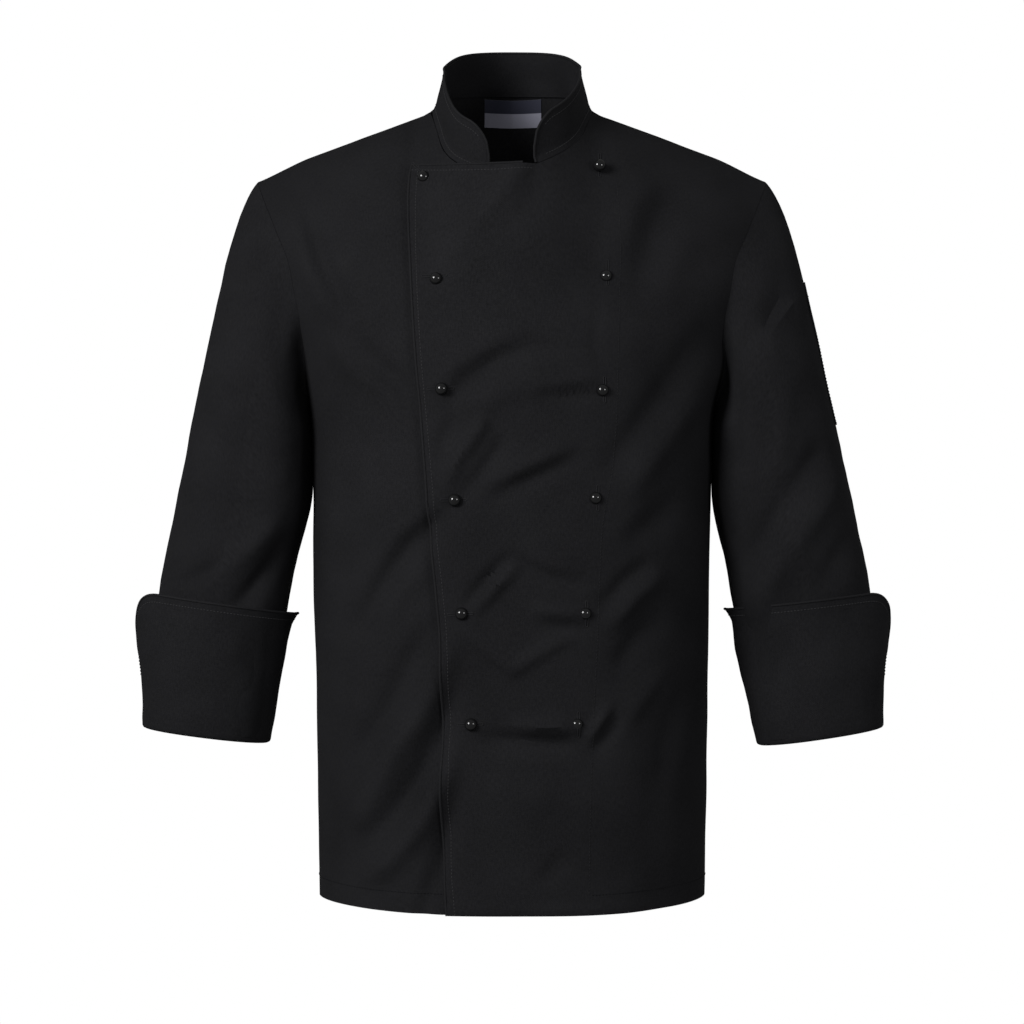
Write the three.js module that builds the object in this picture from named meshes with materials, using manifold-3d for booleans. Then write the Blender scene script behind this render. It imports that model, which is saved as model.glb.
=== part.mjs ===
// A double-breasted chef jacket with stud buttons, filled out as when it is worn, in millimetres.
// +Z is up, the jacket faces -Y and the wearer's left side is on +X. The origin lies midway
// between the shoulders, level with the points where the shoulder seams meet the collar.
import * as THREE from "three";
import { mergeVertices } from "three/addons/utils/BufferGeometryUtils.js";
import Module from "manifold-3d";

// Cloth
const CLOTH = 1.4; // wall of a body panel or a sleeve
const HEM = 2.4; // wall where the hem is turned up
const HEM_HEIGHT = 19;
const HEM_Z = { middle: -763.5, side: -756 };
const HEM_LEVEL_SHARE = 0.3; // this share of a front's hem, from its free edge, lies level
const CUFF_WALL = 2.0;
const COLLAR_WALL = 2.6;
const COLLAR_SEAM = 0.5; // the thick wall stands a little further off
const SEAM = 0.3; // gap between two pieces at a seam

// The wearer's left front lies outside the right one by this much. The lift fades out over
// `fadeX` beyond `fromX`, and up over the shoulder from `fromLevel`.
const OVERLAP = { lift: 2.6, fromX: 104, fadeX: 40, fromLevel: -60, fadeLevel: 120 };
// Along its top edge it stands off more, to pass in front of the collar's end.
const OVERLAP_TOP = { lift: 3, fromZ: -110, riseZ: 45, toX: 5, fadeX: 18 };
const OVERLAP_CORNER = { z: -61, sag: 1.5 }; // its top corner, and how far its top edge sags
const UNDERLAP_CORNER = { z: -71, sag: 0 };
const UNDERLAP_SINK = 4; // and the hidden part of the right front lies this much deeper

// Body
const CHEST_Z = -230; // the body starts to close towards the shoulders here
const SHOULDER_SPAN = 230; // rise from there to the shoulder seam beside the collar
const SEAM_LEVEL = CHEST_Z + (SHOULDER_SPAN * Math.PI) / 2;
const ARMPIT_Z = -300;
const SIDE_ROUNDING = { front: 2.4, back: 2.3 };
const SHOULDER_ROUNDING = { front: 1.6, back: 1.8 };
const SHOULDER_TIP_X = 246;
const NECK_POINT_X = 79.5;
const SHOULDER_SLOPE = 0.37;
const SHOULDER_RISE = 28; // where the line of the shoulder seam would meet the middle
const SHOULDER_DROP = 5; // the seam's end falls this much more
const SHOULDER_DROP_FROM = 195; // from this far out
const NECK_RISE = 62; // the cloth would stand this much higher at the middle with no neckline
const NECK_RISE_HALF = 86;

// The wall's half width and its depths in front of and behind the side seams. A level is a height
// up to the chest, and above it a distance measured on over the shoulder.
const bodySections = [
  { level: -790, halfWidth: 185.5, front: 125, back: 116 },
  { level: -740, halfWidth: 186.5, front: 127, back: 115 },
  { level: -570, halfWidth: 189, front: 131, back: 112 },
  { level: -400, halfWidth: 191.5, front: 137, back: 116 },
  { level: -300, halfWidth: 194.5, front: 136, back: 121 },
  { level: -230, halfWidth: 208, front: 130, back: 124 },
  { level: -168, halfWidth: 229, front: 120, back: 126 },
  { level: -100, halfWidth: 244, front: 109, back: 127 },
  { level: 18, halfWidth: 259, front: 108, back: 127 },
  { level: 131, halfWidth: 266, front: 108, back: 127 },
];

// The armhole seams as seen from the front: how far out the front's and the back's seams lie.
const armholeSeam = [
  { z: -300, front: 194.5, back: 194.5 },
  { z: -284, front: 195.4, back: 197.5 },
  { z: -262, front: 197, back: 202 },
  { z: -235, front: 199, back: 207 },
  { z: -205, front: 202, back: 212.5 },
  { z: -180, front: 207, back: 217 },
  { z: -150, front: 213, back: 223 },
  { z: -120, front: 225.5, back: 230 },
  { z: -95, front: 236, back: 237 },
  { z: -70, front: 246, back: 246 },
];

// The free edge of each front, as seen from the front: x runs away from that front's own side.
const overlapEdge = [
  { z: -768, x: 59 },
  { z: -731, x: 62 },
  { z: -650, x: 64.5 },
  { z: -582, x: 63.5 },
  { z: -521, x: 65 },
  { z: -462, x: 69.5 },
  { z: -414, x: 74.5 },
  { z: -325, x: 81.5 },
  { z: -225, x: 90 },
  { z: -155, x: 94.5 },
  { z: -98, x: 97 },
  { z: -60, x: 94.5 },
];
const underlapEdge = [
  { z: -765, x: 72 },
  { z: -585, x: 76 },
  { z: -482, x: 83 },
  { z: -375, x: 92 },
  { z: -275, x: 98 },
  { z: -165, x: 102 },
  { z: -70, x: 97 },
];

// The neck seam as seen from the front, from the collar's end round to the shoulder seam.
const neckSeam = {
  left: [
    { x: 23.5, z: -60 },
    { x: 36, z: -54 },
    { x: 49, z: -46.5 },
    { x: 59.5, z: -37.5 },
    { x: 67.5, z: -27 },
    { x: 73, z: -14 },
    { x: 79.5, z: -1.4 },
  ],
  right: [
    { x: 25, z: -66 },
    { x: 38, z: -62.5 },
    { x: 51, z: -57 },
    { x: 61.5, z: -49 },
    { x: 69, z: -38 },
    { x: 74, z: -20 },
    { x: 79.5, z: -1.4 },
  ],
};
const BACK_NECK_Z = 24;
const BACK_NECK_ROUNDING = 0.8; // smaller is flatter in the middle

// Grid sizes of the panels
const SIDE_ROWS = 17;
const ARMHOLE_ROWS = 11;
const ROWS = SIDE_ROWS + ARMHOLE_ROWS;
const FREE_COLUMNS = 5;
const NECK_COLUMNS = 6;
const SHOULDER_COLUMNS = 7;
const BACK_NECK_COLUMNS = 8;
const BACK_SHOULDER_COLUMNS = 5;
const RELAX_PASSES = 5;
const RELAX_FROM = 0.62; // share of the rows below the ones that are evened out

// Sleeve sections. Each is a loop through an outer and an inner point seen from the front,
// and reaches from `front` to `back` in depth.
const sleeveSections = {
  left: [
    { outerX: 299, outerZ: -243, innerX: 196.3, innerZ: -316, front: -80, back: 74 },
    { outerX: 312, outerZ: -302, innerX: 195.6, innerZ: -348, front: -77, back: 70 },
    { outerX: 324, outerZ: -354, innerX: 195.4, innerZ: -383, front: -74, back: 65 },
    { outerX: 335, outerZ: -408, innerX: 205.5, innerZ: -430, front: -71, back: 59 },
    { outerX: 345.5, outerZ: -458, innerX: 214.5, innerZ: -478, front: -67, back: 53 },
    { outerX: 351, outerZ: -520, innerX: 225.5, innerZ: -540, front: -62, back: 46 },
    { outerX: 356, outerZ: -591, innerX: 239.5, innerZ: -607.5, front: -57, back: 41 },
  ],
  right: [
    { outerX: 297, outerZ: -243, innerX: 196.3, innerZ: -316, front: -80, back: 74 },
    { outerX: 309.5, outerZ: -302, innerX: 195.6, innerZ: -348, front: -77, back: 70 },
    { outerX: 319.5, outerZ: -354, innerX: 195.6, innerZ: -383, front: -74, back: 65 },
    { outerX: 330, outerZ: -408, innerX: 207, innerZ: -430, front: -71, back: 59 },
    { outerX: 340, outerZ: -458, innerX: 217.5, innerZ: -478, front: -67, back: 53 },
    { outerX: 347.5, outerZ: -520, innerX: 226.5, innerZ: -540, front: -62, back: 46 },
    { outerX: 354, outerZ: -590, innerX: 236, innerZ: -605, front: -57, back: 41 },
  ],
};
const SLEEVE_ROUNDING = 2.2;
const SLEEVE_SUBSTEPS = 2;
const CAP_STEPS = [0.09, 0.22, 0.42, 0.7];

// How a sleeve leaves the armhole: the share of its way that is square to the seam, how far that
// direction holds, and how early it swings into the first section. Each has a value of its own
// for the top of the sleeve and for under the arm.
const CAP_SQUARE = { sides: 0.25, top: 0.25, under: 0.75 };
const CAP_REACH = { sides: 25, top: 10, under: -19 };
const CAP_ARRIVE = { share: 0.33, under: 0.2 };

// Turned-back cuffs: sections from the fold at the bottom to the free edge at the top. The outer
// side comes to more of a point upwards, where its `point` is smaller.
const cuffSections = {
  left: [
    { outerX: 359, outerZ: -593, innerX: 236.5, innerZ: -610.5, front: -61, back: 45, point: 2.2 },
    { outerX: 359.7, outerZ: -551, innerX: 226, innerZ: -567, front: -65, back: 49, point: 1.95 },
    { outerX: 363.8, outerZ: -509, innerX: 217, innerZ: -524, front: -69, back: 53, point: 1.65 },
    { outerX: 368.5, outerZ: -464, innerX: 210, innerZ: -482, front: -74, back: 58, point: 1.4 },
  ],
  right: [
    { outerX: 357, outerZ: -593, innerX: 233.5, innerZ: -608, front: -61, back: 45, point: 2.2 },
    { outerX: 358.3, outerZ: -551, innerX: 227, innerZ: -566, front: -65, back: 49, point: 1.95 },
    { outerX: 361.5, outerZ: -509, innerX: 219.5, innerZ: -526, front: -69, back: 53, point: 1.65 },
    { outerX: 365.5, outerZ: -464, innerX: 211.5, innerZ: -486, front: -74, back: 58, point: 1.4 },
  ],
};
const CUFF_ROWS = 8;
const CUFF_COLUMNS = 24;
const CUFF_SLIT_ROW = 4; // the slit is open from this row up
const CUFF_SLIT_TURN = 0.02; // radians in front of the outermost line
const CUFF_SLIT_HALF = 3.6;
const CUFF_RADIUS = 58;
const CUFF_CROWDING = 0.55; // share by which the columns crowd towards the slit
const CUFF_CORNER = { width: 21, height: 28 }; // its rounding as seen from the front
const CUFF_HEIGHT = 128;
const CUFF_SUBSTEPS = 8;

// Collar
const COLLAR_ROWS = [0, 7, 17, 28, 36, 42]; // heights above the neck seam
const COLLAR_LEAN = { forward: 0.3, inward: 0.1, behind: 0.03 };
const COLLAR_FOOT = { out: 0.7, up: 0.3 }; // it leaves its seam mostly in line with the cloth
const COLLAR_CORNER = { width: 26, height: 26 };

// Piping along the free edges
const PIPING = 1.25; // radius
const PIPING_SIDES = 6;
const PIPING_MITRE = 0.7; // at a sharp turn the bead moves out no further than for this cosine
const PIPING_START = 0.12; // share of a row above the slit's foot where a cuff's bead starts

// Neck label and pen pocket, in rows and columns of the pieces that carry them
const LABEL = {
  wall: 0.8,
  gap: 0.4,
  rows: [-0.75, -0.45, -0.12],
  columns: [-0.95, -0.5, 0, 0.5, 0.95],
};
const POCKET = { wall: 1.6, gap: 0.35, rows: [4, 5, 6, 7], columns: [1, 0, -1, -2, -3] };

// Stud buttons
const STUD = {
  ball: 6, // radius
  neck: 2.1, // radius
  foot: 6.5, // radius
  footHeight: 1.3,
  hole: 2.7, // radius of the hole in the cloth
  holeSpare: 6, // how much longer than the cloth is thick
  clear: 0.45, // the cloth isn't flat under the ball
  sides: 8,
  ballSteps: 5,
  footPoints: 8, // places round the foot where the cloth's depth is measured
  startOut: 20, // the measuring starts this far outside the body
  deepest: 60,
};
const studPlaces = [
  { name: "right_1", x: -83, z: -72 },
  { name: "right_2", x: -70.5, z: -171 },
  { name: "right_3", x: -65, z: -274 },
  { name: "right_4", x: -53, z: -377 },
  { name: "right_5", x: -46.5, z: -482 },
  { name: "right_6", x: -38, z: -585 },
  { name: "left_1", x: 80.5, z: -63 },
  { name: "left_2", x: 87.5, z: -168 },
  { name: "left_3", x: 83.5, z: -275 },
  { name: "left_4", x: 77, z: -375 },
  { name: "left_5", x: 67.5, z: -482 },
  { name: "left_6", x: 60, z: -585 },
];

// The largest folds, each a soft ridge or (with a negative height) a trough from one point to
// another as seen from the front, or through the jacket from behind for the back.
const folds = {
  front_right: [
    { x0: -200, z0: -120, x1: -150, z1: -205, width: 17, height: -3 },
    { x0: -150, z0: -205, x1: -108, z1: -285, width: 15, height: -3.5 },
    { x0: -82, z0: -395, x1: -150, z1: -480, width: 15, height: -4.5 },
    { x0: -72, z0: -525, x1: -145, z1: -650, width: 17, height: 5 },
    { x0: -75, z0: -590, x1: -135, z1: -690, width: 13, height: -3.5 },
    { x0: -72, z0: -620, x1: -140, z1: -715, width: 15, height: 3.5 },
    { x0: -165, z0: -330, x1: -178, z1: -520, width: 16, height: 2.5 },
  ],
  front_left: [
    { x0: 36, z0: -238, x1: -44, z1: -262, width: 14, height: -3.2 },
    { x0: 30, z0: -268, x1: 78, z1: -266, width: 11, height: 2.6 },
    { x0: 38, z0: -286, x1: 80, z1: -283, width: 8, height: -2.6 },
    { x0: -52, z0: -366, x1: -30, z1: -290, width: 12, height: 3.5 },
    { x0: -47, z0: -374, x1: -8, z1: -325, width: 9, height: -3 },
    { x0: -28, z0: -465, x1: 4, z1: -434, width: 9, height: 4 },
    { x0: 8, z0: -432, x1: 52, z1: -455, width: 10, height: -2.6 },
    { x0: 22, z0: -485, x1: 62, z1: -489, width: 8, height: -3.2 },
    { x0: -18, z0: -591, x1: 66, z1: -593, width: 9, height: -3.2 },
    { x0: 26, z0: -571, x1: 55, z1: -578, width: 8, height: 2.8 },
    { x0: 190, z0: -75, x1: 112, z1: -125, width: 17, height: -3.5 },
    { x0: 112, z0: -125, x1: 102, z1: -175, width: 13, height: -2.5 },
    { x0: 178, z0: -240, x1: 100, z1: -350, width: 22, height: 4.5 },
    { x0: 100, z0: -350, x1: 84, z1: -415, width: 15, height: 3 },
    { x0: 165, z0: -360, x1: 120, z1: -420, width: 22, height: -3 },
    { x0: 76, z0: -576, x1: 96, z1: -560, width: 9, height: 3 },
    { x0: 160, z0: -560, x1: 110, z1: -700, width: 20, height: 3 },
  ],
  back: [
    { x0: -200, z0: -150, x1: -90, z1: -260, width: 20, height: -3.5 },
    { x0: 200, z0: -150, x1: 90, z1: -260, width: 20, height: -3.5 },
    { x0: -178, z0: -330, x1: -70, z1: -430, width: 22, height: 4 },
    { x0: 178, z0: -330, x1: 80, z1: -450, width: 22, height: 4 },
    { x0: -100, z0: -470, x1: -130, z1: -700, width: 22, height: -4 },
    { x0: 60, z0: -440, x1: 75, z1: -720, width: 22, height: 3.5 },
    { x0: -20, z0: -520, x1: -10, z1: -740, width: 22, height: -3.5 },
  ],
  sleeve_left: [
    { x0: 262, z0: -166, x1: 234, z1: -220, width: 8, height: -5 },
    { x0: 234, z0: -220, x1: 226, z1: -250, width: 8, height: -4 },
    { x0: 275, z0: -185, x1: 252, z1: -240, width: 12, height: 3 },
    { x0: 322, z0: -330, x1: 290, z1: -400, width: 13, height: 3 },
    { x0: 232, z0: -415, x1: 290, z1: -455, width: 12, height: -3 },
  ],
  sleeve_right: [
    { x0: -250, z0: -97, x1: -242, z1: -117, width: 8, height: -3 },
    { x0: -250, z0: -139, x1: -232, z1: -130, width: 8, height: -3 },
    { x0: -300, z0: -260, x1: -255, z1: -300, width: 15, height: 3 },
    { x0: -224, z0: -436, x1: -258, z1: -472, width: 11, height: -5 },
    { x0: -250, z0: -415, x1: -290, z1: -450, width: 12, height: 3.5 },
  ],
  sleeve_backs: [
    { x0: 238, z0: -170, x1: 280, z1: -250, width: 14, height: -4 },
    { x0: 225, z0: -330, x1: 290, z1: -380, width: 14, height: 4 },
    { x0: 235, z0: -400, x1: 320, z1: -440, width: 12, height: -4 },
  ],
};
const EDGE_BLEND = 30; // both fronts share their folds this near the overlap's edge
const FOLD_END = 0.55; // share of a fold's height that is left at its ends
const FOLD_FACING = 1.4; // how soon a sleeve's folds fade as its cloth turns sideways
const FOLD_FADE_ROWS = 3; // and over how many rows they grow below the armhole

const TURN_STEP = 0.002;
const PLANE_TURN = 0.999; // from this turn, or this near SEAM_LEVEL, a place is on a seam's plane
const PLANE_LEVEL = 0.01;
const WELD = 1e-3;

const wasm = await Module();
wasm.setup();

const clamp = (v, low, high) => Math.min(high, Math.max(low, v));
const smooth = (v) => clamp(v, 0, 1) ** 2 * (3 - 2 * clamp(v, 0, 1));
const vec = (x, y, z) => new THREE.Vector3(x, y, z);
const midpoint = (a, b) => a.clone().add(b).multiplyScalar(0.5);

// How far a rounded corner lies below the edge, at a distance from the corner's side.
function cornerDrop(off, { width, height }) {
  const share = clamp(1 - off / width, 0, 1);
  return height * (1 - Math.sqrt(1 - share ** 2));
}

// A smooth line through the rows of a table that never overshoots them.
function curve(table, from, to) {
  const rows = [...table].sort((a, b) => a[from] - b[from]);
  const at = rows.map((r) => r[from]);
  const value = rows.map((r) => r[to]);
  const last = at.length - 1;
  const rise = at.slice(1).map((a, i) => (value[i + 1] - value[i]) / (a - at[i]));
  const slope = at.map((_, i) => {
    if (i === 0) return rise[0];
    if (i === last) return rise[last - 1];
    const product = rise[i - 1] * rise[i];
    return product <= 0 ? 0 : (2 * product) / (rise[i - 1] + rise[i]);
  });
  return (v) => {
    const x = clamp(v, at[0], at[last]);
    const i = Math.min(
      last - 1,
      Math.max(0, at.findIndex((a) => a > x) - 1 + (x >= at[last] ? last + 1 : 0)),
    );
    const step = at[i + 1] - at[i];
    const t = (x - at[i]) / step;
    return (
      value[i] * (1 + 2 * t) * (1 - t) ** 2 +
      slope[i] * step * t * (1 - t) ** 2 +
      value[i + 1] * t * t * (3 - 2 * t) +
      slope[i + 1] * step * t * t * (t - 1)
    );
  };
}

const halfWidthAt = curve(bodySections, "level", "halfWidth");
const depthAt = {
  front: curve(bodySections, "level", "front"),
  back: curve(bodySections, "level", "back"),
};

// Height of the shoulder seam's line at a distance from the middle.
function shoulderZ(x) {
  const out = Math.abs(x);
  const neck = out < NECK_RISE_HALF ? (1 - (out / NECK_RISE_HALF) ** 2) ** 2 : 0;
  const end = smooth((out - SHOULDER_DROP_FROM) / (SHOULDER_TIP_X - SHOULDER_DROP_FROM));
  return SHOULDER_RISE - SHOULDER_SLOPE * out + NECK_RISE * neck - SHOULDER_DROP * end;
}

// The body's surface at a place on the cloth. `turn` runs from 0 in the middle to 1 at the side
// seam, and `level` from the hem to SEAM_LEVEL at the shoulder seam.
function bodyPoint(face, turn, level) {
  const lean = Math.sin((turn * Math.PI) / 2);
  const x = halfWidthAt(level) * lean;
  const rise = level > CHEST_Z ? Math.sin((level - CHEST_Z) / SHOULDER_SPAN) : 0;
  const z = level > CHEST_Z ? CHEST_Z + (shoulderZ(x) - CHEST_Z) * rise : level;
  const side = SIDE_ROUNDING[face];
  const over = SHOULDER_ROUNDING[face];
  const depth =
    depthAt[face](level) *
    Math.max(0, 1 - Math.abs(lean) ** side) ** (1 / side) *
    Math.max(0, 1 - rise ** over) ** (1 / over);
  return vec(x, face === "front" ? -depth : depth, z);
}

// The place on the cloth of a point seen from the front.
function placeOf(x, z) {
  let level = z;
  if (z > CHEST_Z) {
    const rise = clamp((z - CHEST_Z) / (shoulderZ(x) - CHEST_Z), 0, 1);
    level = CHEST_Z + SHOULDER_SPAN * Math.asin(rise);
  }
  const turn = (Math.asin(clamp(x / halfWidthAt(level), -1, 1)) * 2) / Math.PI;
  return new THREE.Vector2(turn, level);
}

// How far the folds move the cloth out at a point seen from the front.
function foldHeight(table, x, z) {
  let height = 0;
  for (const f of table) {
    const dx = f.x1 - f.x0;
    const dz = f.z1 - f.z0;
    const along = ((x - f.x0) * dx + (z - f.z0) * dz) / (dx * dx + dz * dz);
    const near = clamp(along, 0, 1);
    const away = Math.hypot(x - f.x0 - near * dx, z - f.z0 - near * dz);
    const fade = FOLD_END + (1 - FOLD_END) * Math.sin(Math.PI * near);
    height += f.height * fade * Math.exp(-((away / f.width) ** 2));
  }
  return height;
}

// A patch of places between four edges, each given as a list of places.
function patch(bottom, top, left, right) {
  const columns = bottom.length - 1;
  const rows = left.length - 1;
  return left.map((_, i) =>
    bottom.map((_, j) => {
      const s = j / columns;
      const t = i / rows;
      const mix = (key) =>
        (1 - t) * bottom[j][key] +
        t * top[j][key] +
        (1 - s) * left[i][key] +
        s * right[i][key] -
        (1 - s) * (1 - t) * bottom[0][key] -
        s * (1 - t) * bottom[columns][key] -
        (1 - s) * t * top[0][key] -
        s * t * top[columns][key];
      return new THREE.Vector2(mix("x"), mix("y"));
    }),
  );
}

// Evens out a patch near its top edge, where the neck seam would otherwise shear it.
function relax(places) {
  const rows = places.length;
  const columns = places[0].length;
  for (let pass = 0; pass < RELAX_PASSES; pass++) {
    const before = places.map((row) => row.map((p) => p.clone()));
    for (let i = Math.floor(rows * RELAX_FROM); i < rows - 1; i++) {
      for (let j = 1; j < columns - 1; j++) {
        places[i][j]
          .copy(before[i - 1][j])
          .add(before[i + 1][j])
          .add(before[i][j - 1])
          .add(before[i][j + 1])
          .multiplyScalar(0.25);
      }
    }
  }
  return places;
}

// Outward normals of a grid of points. A ring's last column meets its first.
function gridNormals(points, ring, outward) {
  const rows = points.length;
  const columns = points[0].length;
  const pick = (i, j) => {
    const jj = ring ? (j + columns) % columns : clamp(j, 0, columns - 1);
    return points[clamp(i, 0, rows - 1)][jj];
  };
  return points.map((row, i) =>
    row.map((_, j) => {
      const across = pick(i, j + 1).clone().sub(pick(i, j - 1));
      const up = pick(i + 1, j).clone().sub(pick(i - 1, j));
      return across.cross(up).multiplyScalar(outward).normalize();
    }),
  );
}

// A closed wall whose outer face is a grid of points, with its inner face beneath it.
// `leftOut(i, j)` names the quads that the cloth doesn't have.
function wallGeometry(outer, inner, { ring = false, outward = 1, leftOut = () => false } = {}) {
  const columns = outer[0].length;
  const across = ring ? columns : columns - 1;
  const count = outer.length * columns;
  const faces = [];
  const at = (i, j) => i * columns + (j % columns);
  for (let i = 0; i < outer.length - 1; i++) {
    for (let j = 0; j < across; j++) {
      if (leftOut(i, j)) continue;
      const [a, b, c, d] = [at(i, j), at(i, j + 1), at(i + 1, j + 1), at(i + 1, j)];
      const point = (k) => outer[Math.floor(k / columns)][k % columns];
      const short = point(a).distanceTo(point(c)) <= point(b).distanceTo(point(d));
      const pair = short ? [[a, b, c], [a, c, d]] : [[a, b, d], [b, c, d]];
      faces.push(...(outward > 0 ? pair : pair.map((f) => [f[0], f[2], f[1]])));
    }
  }
  const edges = new Set(faces.flatMap(([a, b, c]) => [`${a} ${b}`, `${b} ${c}`, `${c} ${a}`]));
  const rim = [...edges]
    .map((e) => e.split(" ").map(Number))
    .filter(([a, b]) => !edges.has(`${b} ${a}`))
    .flatMap(([a, b]) => [[b, a, a + count], [b, a + count, b + count]]);
  const under = faces.map(([a, b, c]) => [c + count, b + count, a + count]);
  const positions = [...outer.flat(), ...inner.flat()].flatMap((p) => [p.x, p.y, p.z]);
  const geometry = new THREE.BufferGeometry();
  geometry.setAttribute("position", new THREE.Float32BufferAttribute(positions, 3));
  geometry.setIndex([...faces, ...rim, ...under].flat());
  return geometry;
}

const inwards = (points, normals, thickness) =>
  points.map((row, i) =>
    row.map((p, j) => p.clone().addScaledVector(normals[i][j], -thickness(i, j))),
  );

const clothMaterial = new THREE.MeshStandardMaterial({
  color: 0x1b1b1d,
  roughness: 0.85,
  metalness: 0,
});
const pipingMaterial = new THREE.MeshStandardMaterial({
  color: 0x161618,
  roughness: 0.7,
  metalness: 0,
});
const studMaterial = new THREE.MeshStandardMaterial({
  color: 0x060607,
  roughness: 0.12,
  metalness: 0,
});
const labelMaterial = new THREE.MeshStandardMaterial({
  color: 0x8f8f9c,
  roughness: 0.7,
  metalness: 0,
});

const jacket = new THREE.Group();
jacket.name = "chef_jacket";
function add(name, geometry, material) {
  const mesh = new THREE.Mesh(geometry, material);
  mesh.name = name;
  jacket.add(mesh);
  return mesh;
}

// Body panels

// The side seam and then the armhole, from the hem to the shoulder's tip.
function sideEdge(face, hemZ) {
  const seamX = curve(armholeSeam, "z", face);
  const places = [];
  for (let i = 0; i < SIDE_ROWS; i++) {
    const above = (ARMPIT_Z - hemZ - HEM_HEIGHT) * ((i - 1) / (SIDE_ROWS - 1));
    const z = i === 0 ? hemZ : hemZ + HEM_HEIGHT + above;
    places.push(new THREE.Vector2(1, z));
  }
  const tipZ = shoulderZ(SHOULDER_TIP_X);
  for (let i = 0; i <= ARMHOLE_ROWS; i++) {
    const z = ARMPIT_Z + ((tipZ - ARMPIT_Z) * (1 - Math.cos((Math.PI * i) / ARMHOLE_ROWS))) / 2;
    const place = placeOf(Math.min(seamX(z), SHOULDER_TIP_X), z);
    if (i === 0) place.set(1, ARMPIT_Z);
    if (i === ARMHOLE_ROWS) place.y = SEAM_LEVEL;
    places.push(place);
  }
  return places;
}

// The shoulder seam's places, from the collar out to the shoulder's tip.
function shoulderEdge(columns) {
  return Array.from({ length: columns }, (_, j) => {
    const x = NECK_POINT_X + ((SHOULDER_TIP_X - NECK_POINT_X) * (j + 1)) / columns;
    return new THREE.Vector2(placeOf(x, shoulderZ(x)).x, SEAM_LEVEL);
  });
}

// A panel's places turned into its wall, with a seam's half gap at the plane of the side seams.
function panel(name, places, face, outset) {
  const towards = face === "front" ? -1 : 1;
  const base = places.map((row) => row.map((p) => bodyPoint(face, p.x, p.y)));
  const baseNormals = gridNormals(base, false, -towards);
  const onSeamPlane = (p) =>
    Math.abs(p.x) > PLANE_TURN || p.y > SEAM_LEVEL - PLANE_LEVEL;
  const flatten = (normals) =>
    normals.forEach((row, i) =>
      row.forEach((n, j) => {
        if (onSeamPlane(places[i][j])) n.setY(0).normalize();
      }),
    );
  flatten(baseNormals);
  const outer = base.map((row, i) =>
    row.map((p, j) => {
      const moved = p.clone().addScaledVector(baseNormals[i][j], outset(p, places[i][j]));
      const gap = (towards * SEAM) / 2;
      if (onSeamPlane(places[i][j])) moved.y = gap;
      else if (moved.y * towards < Math.abs(gap)) moved.y = gap;
      return moved;
    }),
  );
  const normals = gridNormals(outer, false, -towards);
  flatten(normals);
  const inner = inwards(outer, normals, (i) => (i < 2 ? HEM : CLOTH));
  inner.flat().forEach((p) => {
    if (p.y * towards < SEAM / 2) p.y = (towards * SEAM) / 2;
  });
  const geometry = wallGeometry(outer, inner, { outward: -towards });
  return { name, outer, inner, normals, geometry };
}

const mirrorPlaces = (places) =>
  places.map((row) => row.map((p) => new THREE.Vector2(-p.x, p.y)).reverse());

// Places of a front whose own side is on +X, with its free edge on -X.
function frontPlaces(edge, neck, topCorner) {
  const edgeX = curve(edge, "z", "x");
  const right = sideEdge("front", HEM_Z.side);
  const bottomZ = (s) => {
    const share = smooth((s - HEM_LEVEL_SHARE) / (1 - HEM_LEVEL_SHARE));
    return HEM_Z.middle + (HEM_Z.side - HEM_Z.middle) * share;
  };
  const bottomTurn = placeOf(-edgeX(HEM_Z.middle), HEM_Z.middle).x;
  const columns = FREE_COLUMNS + NECK_COLUMNS + SHOULDER_COLUMNS;
  const bottom = Array.from({ length: columns + 1 }, (_, j) => {
    const s = j / columns;
    return new THREE.Vector2(bottomTurn + (1 - bottomTurn) * s, bottomZ(s));
  });
  const left = Array.from({ length: ROWS + 1 }, (_, i) => {
    const z = bottom[0].y + (topCorner.z - bottom[0].y) * (i / ROWS);
    return placeOf(-edgeX(z), z);
  });
  left[0].copy(bottom[0]);
  const top = [];
  for (let j = 0; j < FREE_COLUMNS; j++) {
    const s = j / FREE_COLUMNS;
    const x = -edgeX(topCorner.z) + (neck[0].x + edgeX(topCorner.z)) * s;
    const sag = topCorner.sag * Math.sin(Math.PI * s);
    top.push(placeOf(x, topCorner.z + (neck[0].z - topCorner.z) * s - sag));
  }
  neck.forEach((p) => top.push(placeOf(p.x, p.z)));
  const neckPoint = placeOf(NECK_POINT_X, shoulderZ(NECK_POINT_X)).x;
  top[FREE_COLUMNS + NECK_COLUMNS].set(neckPoint, SEAM_LEVEL);
  top.push(...shoulderEdge(SHOULDER_COLUMNS));
  left[ROWS].copy(top[0]);
  return relax(patch(bottom, top, left, right));
}

const overlapEdgeX = curve(overlapEdge, "z", "x");
const fromOverlapEdge = (x, z) => x + overlapEdgeX(z);

// The wearer's left front, which closes over the right one.
const leftFront = panel(
  "front_left",
  frontPlaces(overlapEdge, neckSeam.left, OVERLAP_CORNER),
  "front",
  (p, place) => {
    const covers = 1 - smooth((p.x - OVERLAP.fromX) / OVERLAP.fadeX);
    const belowNeck = 1 - smooth((place.y - OVERLAP.fromLevel) / OVERLAP.fadeLevel);
    const nearTop = smooth((p.z - OVERLAP_TOP.fromZ) / OVERLAP_TOP.riseZ);
    const besideCollar = 1 - smooth((p.x - OVERLAP_TOP.toX) / OVERLAP_TOP.fadeX);
    const shared = 1 - smooth(fromOverlapEdge(p.x, p.z) / EDGE_BLEND);
    return (
      OVERLAP.lift * covers * belowNeck +
      OVERLAP_TOP.lift * nearTop * besideCollar +
      foldHeight(folds.front_left, p.x, p.z) * (1 - shared) +
      foldHeight(folds.front_right, p.x, p.z) * shared
    );
  },
);

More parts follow.
